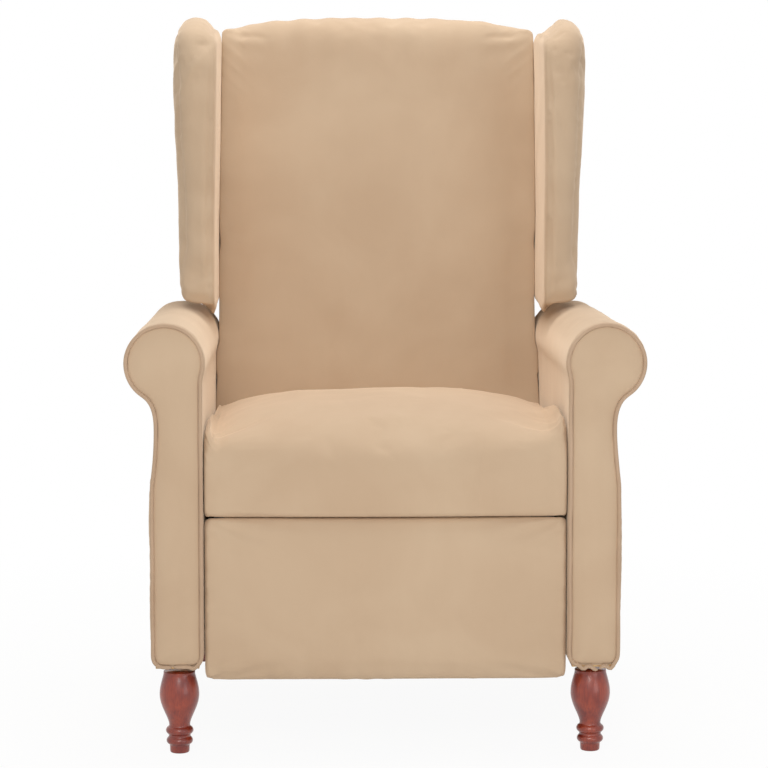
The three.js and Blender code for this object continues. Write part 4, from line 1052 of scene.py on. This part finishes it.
pad_cover = from_node("footrest_pad_sewn", "footrest_pad", microfibre, 5 * MM)
relax(pad_cover, 2)
points, normals = points_of(pad_cover), normals_of(pad_cover)
free = fade(-normals[:, 1], 0.1, 0.6) * (1 - fade(np.abs(points[:, 0]), 0.228, 0.243))
push(pad_cover, -1.5 * MM * free)
plump(pad_cover, free < 0.02, 5 * MM, pressure=2.5)
subdivide(pad_cover)
points, normals = points_of(pad_cover), normals_of(pad_cover)
front = fade(-normals[:, 1], 0.1, 0.7)
side_gap = pad_high.x - np.abs(points[:, 0])
swell = billows(points, (0.16, 1.1, 61), (0.05, 0.3, 62))
low_pulls = gathers(points[:, 0], points[:, 2] - pad_low.z, 30 * MM, 18 * MM, 63) * 0.5 * MM
side_pulls = gathers(points[:, 2], side_gap, 22 * MM, 12 * MM, 64) * 0.5 * MM
push(pad_cover, (swell + low_pulls + side_pulls) * front)

points = points_of(pad_cover)
pad_middle, pad_half = (pad_low.z + pad_high.z) / 2, (pad_high.z - pad_low.z) / 2
fallen = round_off(np.abs(points[:, 0]), pad_high.x, PAD_CORNER)
reach = (points[:, 2] - pad_middle) / pad_half
taller = PAD_CORNER_FALL * fallen + np.where(reach > 0, PAD_HIGHER, PAD_LOWER)
points[:, 2] += reach * np.abs(reach) * taller
points[:, 1] -= PAD_EDGE_FORWARD * fallen * (1 - fade(points[:, 1], pad_low.y, pad_low.y + 14 * MM))
move_points(pad_cover, points)
hold_between(pad_cover, pad_low.x - 0.6 * MM, pad_high.x + 0.6 * MM)
upholster(pad_cover, "footrest_pad", "footrest")
report("footrest pad", pad_cover)

# %% [markdown]
# ## The back cushion
#
# The back leans by 17 degrees, so its own directions help: deep runs from its face to the rear, and up
# runs along it. The cushion is a thick, plain pad. Its sides stand against the wings and its rear lies on
# webs and posts, so air may only push its face and its soft top edge.

# %% The back's own directions
BACK_TILT = math.radians(17)
BACK_FOOT = np.array([0.0, arm_high.y - 0.246, arm_low.z + 0.261])
BACK_UP = np.array([0.0, math.sin(BACK_TILT), math.cos(BACK_TILT)])
BACK_DEEP = np.array([0.0, math.cos(BACK_TILT), -math.sin(BACK_TILT)])
CREASE_UP = [0.2, 0.28, 0.36, 0.45, 0.55, 0.66]
CREASE_IN = {  # mm by which the crease on each side is moved inwards there
    -1: [4.5, 4.4, 4.3, 5.2, 6.3, 6.6], 1: [4.7, 3.0, 0.6, -0.2, -1.0, -1.5],
}


def sewn_crease(places, share=1.0):
    """Moves the crease between a wing and the cushion to where it was sewn, which isn't quite even."""
    for sign, inwards in CREASE_IN.items():
        beside = np.exp(-((places[:, 0] - sign * 0.249) / 0.03) ** 2) * (1 - fade(places[:, 1], 0.07, 0.11))
        places[:, 0] -= sign * np.interp(places[:, 2], CREASE_UP, inwards) * MM * beside * share
    return places


def to_back(points):
    """World points as (x, deep, up)."""
    away = points - BACK_FOOT
    return np.column_stack([points[:, 0], away @ BACK_DEEP, away @ BACK_UP])


def from_back(places):
    """Points given as (x, deep, up) in the world."""
    places = np.asarray(places)
    sideways = np.column_stack([places[:, 0], np.zeros(len(places)), np.zeros(len(places))])
    return BACK_FOOT + sideways + places[:, 1:2] * BACK_DEEP + places[:, 2:3] * BACK_UP


# %% Back cushion, filled
back_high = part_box("back_cushion")[1]
BACK_DEPTH = 0.121
BACK_DRAWN_IN = 4 * MM
BACK_CAP = 13 * MM

back_cover = from_node("back_cushion_sewn", "back_cushion", microfibre, 6.5 * MM, to_back)
relax(back_cover, 4)
places = points_of(back_cover)
facing, rising = -normals_of(back_cover)[:, 1], normals_of(back_cover)[:, 2]
free = fade(facing + 0.8 * np.maximum(rising, 0), 0.2, 0.8) * (1 - fade(np.abs(places[:, 0]), 0.222, 0.242))
free *= fade(places[:, 2], 0.02, 0.10) * (1 - fade(places[:, 1], BACK_DEPTH - 35 * MM, BACK_DEPTH - 8 * MM))
push(back_cover, -BACK_DRAWN_IN * free)
plump(back_cover, free < 0.02, BACK_CAP)
subdivide(back_cover)
places = points_of(back_cover)
facing = fade(-normals_of(back_cover)[:, 1], 0.1, 0.7)
upper = fade(places[:, 2], 0.5, 0.66)
side_gap = np.maximum(0, 0.2475 - np.abs(places[:, 0]))
swell = billows(places, (0.21, 1.0, 71), (0.08, 0.5, 72))
top_pulls = gathers(places[:, 0], np.maximum(0, 0.655 - places[:, 2]), 48 * MM, 50 * MM, 73) * 1.0 * MM
side_pulls = gathers(places[:, 2], side_gap, 60 * MM, 22 * MM, 74) * 1.0 * MM
corner_pulls = gathers(places[:, 2] - np.abs(places[:, 0]), side_gap, 16 * MM, 26 * MM, 75)
corner_pulls *= 0.9 * MM * upper
top_pulls *= fade(places[:, 2], 0.5, 0.62) * (1 - fade(places[:, 1], BACK_DEPTH - 30 * MM, BACK_DEPTH))
push(back_cover, (swell + side_pulls + corner_pulls) * facing + top_pulls)

# %% [markdown]
# The face of the cushion meets the wings and the arms in one straight, tight crease. So the foam's edge is
# squared there, and it bulges sideways over whatever stands beside it: a thin lip in front of the steel
# brackets, and the whole side above them.

# %% Back cushion, against its neighbours
BACK_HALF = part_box("right_wing")[0].x - 0.1 * MM
BACK_LOWER_HALF = 0.2355
BACK_UPPER_HALF = back_high.x - 3.5 * MM
FOOT_LINE = (0.2335, 0.3155)  # where the cushion widens: up at its face, and the slope rearwards
LIP_DEEP = [0, 14, 18, 42]  # mm behind the face, at the edge
LIP_DRAWN = [-1, 3.2, 4.6, 42]  # where these places go, so that the lip clears the brackets
BRACKET_UP = 0.106
ROLL_LAP = 4.7 * MM  # of the arms' rolls over their inner faces
ARM_PLAY = 0.6 * MM
BACK_EDGE_BEND = 0.8 * MM

places = points_of(back_cover)
heights = from_back(places)[:, 2]
foot_line = FOOT_LINE[0] + FOOT_LINE[1] * places[:, 1]
above_foot = fade(places[:, 2], foot_line + 0.04, foot_line + 0.08)
half = BACK_LOWER_HALF + (BACK_UPPER_HALF - BACK_LOWER_HALF) * above_foot
edge = fade(np.abs(places[:, 0]) / half, 0.86, 0.985)
above = np.clip(0.9 * (places[:, 2] - BRACKET_UP), 0, 80 * MM)
beside = 1 - fade(places[:, 1], 14 * MM + above * 0.6, 17.5 * MM + above)
drawn = np.interp(places[:, 1], np.array(LIP_DEEP) * MM, np.array(LIP_DRAWN) * MM)
places[:, 1] += edge * (drawn - places[:, 1]) * (places[:, 1] > 0)
beside_arm = 1 - fade(heights, 0.598, 0.612)
beside_roll = fade(heights, 0.512, 0.532) * beside_arm
wide = BACK_HALF - ARM_PLAY * beside_arm - (ROLL_LAP - ARM_PLAY) * beside_roll
places[:, 0] *= 1 + (wide * 1.004 / half - 1) * beside * edge
places[:, 0] = firm_edge(places[:, 0], wide, BACK_EDGE_BEND)
move_points(back_cover, from_back(sewn_crease(places, 1 - beside_arm)))
upholster(back_cover, "back_cushion", "back")
report("back cushion", back_cover)

# %% [markdown]
# ## The wings
#
# A wing is a board with foam wrapped round its front and top, so that these edges are fat rolls, while its
# rear edge is thin. Seen from the front, its inner face is upright and its outer face leans out, its top is
# a round knob at the outside with a shoulder that falls to the back cushion. Each face is a set of rings
# that shrink from the outline, and a point's thickness follows from its distance to the outline, which
# gives the roll. The left wing's folds differ from the right one's, as they do on a sewn chair.

# %% The wing's outline, as (ahead, up) in the back's directions
WING_OUTLINE = [
    (-0.1627, 0.284), (-0.10, 0.2625), (-0.03, 0.2380), (0.04, 0.2140), (0.10, 0.1930), (0.15, 0.1762),
    (0.1685, 0.1710), (0.1795, 0.1735), (0.1820, 0.187), (0.1857, 0.2492), (0.1918, 0.3403),
    (0.1979, 0.4309), (0.2012, 0.475), (0.203, 0.515), (0.2035, 0.552), (0.2000, 0.5805), (0.1895, 0.603),
    (0.1730, 0.6185), (0.152, 0.630), (0.128, 0.6400), (0.1015, 0.6490), (0.063, 0.6585), (0.0203, 0.663),
    (-0.024, 0.6625), (-0.071, 0.6595), (-0.100, 0.654), (-0.1259, 0.6457), (-0.1543, 0.621),
    (-0.1627, 0.5945), (-0.1627, 0.5), (-0.1627, 0.39),
]
WING_INSETS = [0, 0.4, 1.4, 3, 5.2, 8, 11.5, 16, 21, 28, 38, 52, 70, 92, 118, 150]  # mm from the outline
WING_FRONT_ROLL = 30 * MM
WING_INNER_ROLL = 22 * MM
WING_REAR_ROLL = 9 * MM
WING_FOOT_ROLL = 13 * MM
WING_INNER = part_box("right_wing")[0].x + 0.1 * MM
WING_OUTER_LOW = 0.2942
WING_LEAN = {"left": 16 * MM, "right": 22 * MM}
SHOULDER_REACH = {"left": 0.28, "right": 0.52}  # share of the thickness on which the top falls inwards
KNOB_LOWER = {"left": 2 * MM, "right": 4 * MM}  # than the outline
WING_INNER_FOOT_ROLL = 4 * MM
FOOT_RISE = (0.2277, -0.343)  # the foot's line in the outline: up where ahead is 0, and its slope
FOOT_LIP = [0, 15, 15, 18, 18, 5]  # mm by which the inner corner hangs over the arm's roll
FOOT_LIP_AHEAD = [-0.05, -0.02, 0.05, 0.08, 0.115, 0.15]  # where, ahead in the outline

wing_loop = even_loop(WING_OUTLINE, 7 * MM, 3)
wing_middle = np.array([0.02, 0.44])
print("wing outline:", len(wing_loop), "points")


# %% A wing
def rolls(ahead, up):
    """How far the inner and the outer face curve in from the outline."""
    front = fade(ahead, -0.12, 0.08)
    foot = (1 - fade(up, 0.18, 0.25)) * fade(ahead, -0.1, 0.0)
    top = fade(up, 0.5, 0.62) * fade(ahead, -0.15, -0.05)
    outer = WING_REAR_ROLL + (WING_FRONT_ROLL - WING_REAR_ROLL) * np.maximum(front, top)
    inner = WING_REAR_ROLL + (WING_INNER_ROLL - WING_REAR_ROLL) * fade(ahead, 0.05, 0.14)
    return inner + (WING_INNER_FOOT_ROLL - inner) * foot, outer + (WING_FOOT_ROLL - outer) * foot


def shoulder(across, ahead, up, reach):
    """How far the top falls towards the inner face: more at the knob than beside the back cushion."""
    return (7 + 19 * fade(ahead, 0.0, 0.11)) * MM * (1 - fade(across, 0.0, reach)) * fade(up, 0.54, 0.66)


def wing_cover(side, sign):
    away = wing_loop - wing_middle
    reach = np.linalg.norm(away, axis=1)
    inner_roll, outer_roll = rolls(wing_loop[:, 0], wing_loop[:, 1])
    rings = []
    for way, insets in ((-1, WING_INSETS[::-1]), (1, WING_INSETS[1:])):
        for inset in insets:
            ring = wing_middle + away * np.maximum(0.06, 1 - inset * MM / reach)[:, None]
            distance = seam_distance(ring, wing_loop)
            into = 1 - np.clip(distance / (outer_roll if way > 0 else inner_roll), 0, 1)
            thickness = WING_OUTER_LOW + WING_LEAN[side] * fade(ring[:, 1], 0.2, 0.66) - WING_INNER
            x = WING_INNER + thickness / 2 * (1 + way * np.sqrt(1 - into ** 2))
            across = (x - WING_INNER) / thickness
            fall = shoulder(across, ring[:, 0], ring[:, 1], SHOULDER_REACH[side])
            up = ring[:, 1] - fall - KNOB_LOWER[side] * fade(ring[:, 1], 0.54, 0.66)
            lip = np.interp(ring[:, 0], FOOT_LIP_AHEAD, FOOT_LIP) * MM
            over_foot = ring[:, 1] - FOOT_RISE[0] - FOOT_RISE[1] * ring[:, 0]
            up -= lip * (1 - fade(across, 0.0, 0.5)) * (1 - fade(over_foot, 0.01, 0.06))
            rings.append(np.column_stack([sign * x, -ring[:, 0], up]).tolist())
    piece = loft(f"{side}_wing_sewn", rings, microfibre)
    remesh(piece, 4.6 * MM)
    relax(piece, 2)
    return piece


def fold_wing(piece, sign):
    """Seams, gathers and folds of one wing."""
    seed = 81 if sign > 0 else 82
    places = points_of(piece)
    outward_side = fade(normals_of(piece)[:, 0] * sign, 0.3, 0.8)
    outline_gap = seam_distance(np.column_stack([-places[:, 1], places[:, 2]]), wing_loop)
    rim = 1 - fade(outline_gap, 8 * MM, 30 * MM)
    around = np.arctan2(places[:, 2] - wing_middle[1], -places[:, 1] - wing_middle[0]) * 0.22
    front_half = fade(-places[:, 1], -0.12, 0.0)
    seam = -valley(outline_gap - 24 * MM, 6 * MM) * 1.9 * MM * outward_side * front_half
    seam_pulls = gathers(around, outline_gap - 24 * MM, 22 * MM, 12 * MM, seed) * 0.7 * MM * outward_side
    swell = billows(places, (0.12, 1.4, seed + 2), (0.045, 0.5, seed + 4))
    top = fade(places[:, 2], 0.585, 0.64)
    top_folds = gathers(around, np.maximum(0, 0.664 - places[:, 2]), 19 * MM, 34 * MM, seed + 6)
    top_folds *= 1.5 * MM * top * rim
    nose = rim * fade(-places[:, 1], 0.12, 0.17)
    nose_pulls = gathers(places[:, 2], outline_gap, 55 * MM, 30 * MM, seed + 8) * 0.9 * MM * nose
    foot_pulls = gathers(around, np.maximum(0, places[:, 2] - 0.19), 13 * MM, 26 * MM, seed + 10)
    foot_pulls *= 0.8 * MM * fade(-places[:, 1], 0.04, 0.13)
    still = np.where(sign * places[:, 0] < WING_INNER + 3 * MM, 0.3, 1.0)
    push(piece, (seam + seam_pulls + swell + top_folds + nose_pulls + foot_pulls) * still)


for side, sign in SIDES.items():
    wing = wing_cover(side, sign)
    reach = np.abs(points_of(wing)[:, 0])
    rear = points_of(wing)[:, 1] > 0.12
    push(wing, np.where((reach > WING_INNER + 6 * MM) & ~rear, -2.2 * MM, 0))
    plump(wing, (reach < WING_INNER + 5 * MM) | rear, 6 * MM, pressure=3.0)
    fold_wing(wing, sign)
    move_points(wing, from_back(sewn_crease(points_of(wing))))
    upholster(wing, f"{side}_wing", "back")
    report(f"{side} wing", wing)

# %% [markdown]
# ## The rear
#
# The chair's rear is plain: an outer panel, stretched over the back's frame and thinly padded, and an apron
# between the arms that closes the base. Both are boards or frames with cloth pulled round them, so they
# are nearly flat, with soft edges, a slight hollow or crown, and pulls that run in from the fixed edges.


# %% Outer back and apron
def stretched_cover(name, node_name, body, voxel, seed):
    piece = from_node(name, node_name, microfibre, voxel)
    relax(piece, 2)
    points, normals = points_of(piece), normals_of(piece)
    low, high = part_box(node_name)
    side_gap = high.x - np.abs(points[:, 0])
    edge_gap = np.minimum(points[:, 2] - low.z, np.minimum(high.z - points[:, 2], side_gap))
    rearward = fade(normals[:, 1], 0.2, 0.8)
    crown = fade(edge_gap, 4 * MM, 70 * MM) * 2.6 * MM
    swell = billows(points, (0.2, 1.2, seed), (0.07, 0.4, seed + 1))
    side_pulls = gathers(points[:, 2], side_gap, 45 * MM, 30 * MM, seed + 2) * 0.8 * MM
    foot_pulls = gathers(points[:, 0], points[:, 2] - low.z, 40 * MM, 34 * MM, seed + 3) * 0.8 * MM
    push(piece, (crown + swell + side_pulls + foot_pulls) * rearward)
    upholster(piece, node_name, body)
    return piece


outer_back = stretched_cover("back_outer_panel_sewn", "back_outer_panel", "back", 4.6 * MM, 91)
apron = stretched_cover("rear_apron_covered", "rear_apron", "base", 4.6 * MM, 95)
report("rear", outer_back, apron)

# %% [markdown]
# ## Turned front legs
#
# A leg is turned on a lathe, so it is one profile spun round its axis: a foot, two beads with grooves
# between them, a long cone that swells to a belly, and a plain top. The profile is written as radius and
# height in millimetres, and a spline through it gives the sweeps between the sharp edges of the beads.

# %% Front legs
LEG_PROFILE = [
    (10.4, 0), (12.2, 0.4), (13.2, 1.8), (13.5, 4.6), (13.6, 8), (13.9, 10.4), (14.8, 11.9), (16.6, 13.2),
    (17.9, 15.2), (18.2, 17.2), (17.7, 19.3), (16.4, 21.2), (15.3, 22.4), (15, 24), (15.6, 25.8),
    (17.3, 27.3), (18.7, 29.4), (19, 31.3), (18.6, 33.2), (17.2, 35.3), (15.2, 36.8), (14.5, 38.6),
    (14.7, 41.5), (15.8, 45.5), (18, 51), (20.9, 57.5), (23.8, 64.5), (26, 71.5), (27.1, 78), (27.3, 83),
    (26.8, 89), (25.6, 95.5), (24.1, 101.5), (22.7, 106.5), (21.9, 110), (21.7, 113.7),
]
LEG_SIDES = 96


def spline(points, steps):
    """A smooth curve through the points (Catmull-Rom)."""
    points = np.array([points[0], *points, points[-1]], dtype=float)
    curve = []
    for first, start, end, last in zip(points, points[1:], points[2:], points[3:]):
        for share in np.arange(steps) / steps:
            curve.append(0.5 * (2 * start + (end - first) * share
                                + (2 * first - 5 * start + 4 * end - last) * share ** 2
                                + (3 * start - first - 3 * end + last) * share ** 3))
    return np.array(curve + [points[-1]])


def turned_leg(side):
    low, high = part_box(f"{side}_front_leg")
    middle = (low + high) / 2
    rings = []
    for radius, height in spline(LEG_PROFILE, 3) * MM:
        turns = np.arange(LEG_SIDES) * 2 * math.pi / LEG_SIDES
        rings.append(np.column_stack([
            middle.x + radius * np.cos(turns), middle.y + radius * np.sin(turns),
            np.full(LEG_SIDES, min(height, high.z)),
        ]).tolist())
    piece = loft(f"{side}_front_leg_turned", rings, lacquered)
    take_place(piece, f"{side}_front_leg", "base")
    return piece


report("legs", *[turned_leg(side) for side in SIDES])

# %% [markdown]
# ## The dust cloth
#
# A thin black sheet is stapled to the seat's rails from below and keeps dust off the springs. It hangs
# through by a few millimetres and ripples a little between the staples.

# %% Dust cloth
cloth_low, cloth_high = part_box("seat_dust_cloth")
CLOTH_SAG = 5 * MM
CLOTH_STEP = 9 * MM

columns = round((cloth_high.x - cloth_low.x) / CLOTH_STEP)
rows = round((cloth_high.y - cloth_low.y) / CLOTH_STEP)
x, y = np.meshgrid(np.linspace(cloth_low.x, cloth_high.x, columns + 1),
                   np.linspace(cloth_low.y, cloth_high.y, rows + 1))
flat = np.column_stack([x.ravel(), y.ravel(), np.full(x.size, (cloth_low.z + cloth_high.z) / 2)])
edge_gap = np.minimum(np.minimum(flat[:, 0] - cloth_low.x, cloth_high.x - flat[:, 0]),
                      np.minimum(flat[:, 1] - cloth_low.y, cloth_high.y - flat[:, 1]))
edge_ripple = gathers(flat[:, 0] + flat[:, 1], edge_gap - 24 * MM, 42 * MM, 22 * MM, 99)
edge_ripple *= fade(edge_gap, 0, 24 * MM)
flat[:, 2] -= (CLOTH_SAG * fade(edge_gap, 20 * MM, 160 * MM)
               + (edge_ripple + 1) * 0.5 * MM * fade(edge_gap, 8 * MM, 24 * MM))
dust_cloth = new_piece("seat_dust_cloth_stapled", flat, quads(rows + 1, columns + 1, False), spun_black)
take_place(dust_cloth, "seat_dust_cloth", "seat")
report("dust cloth", dust_cloth)
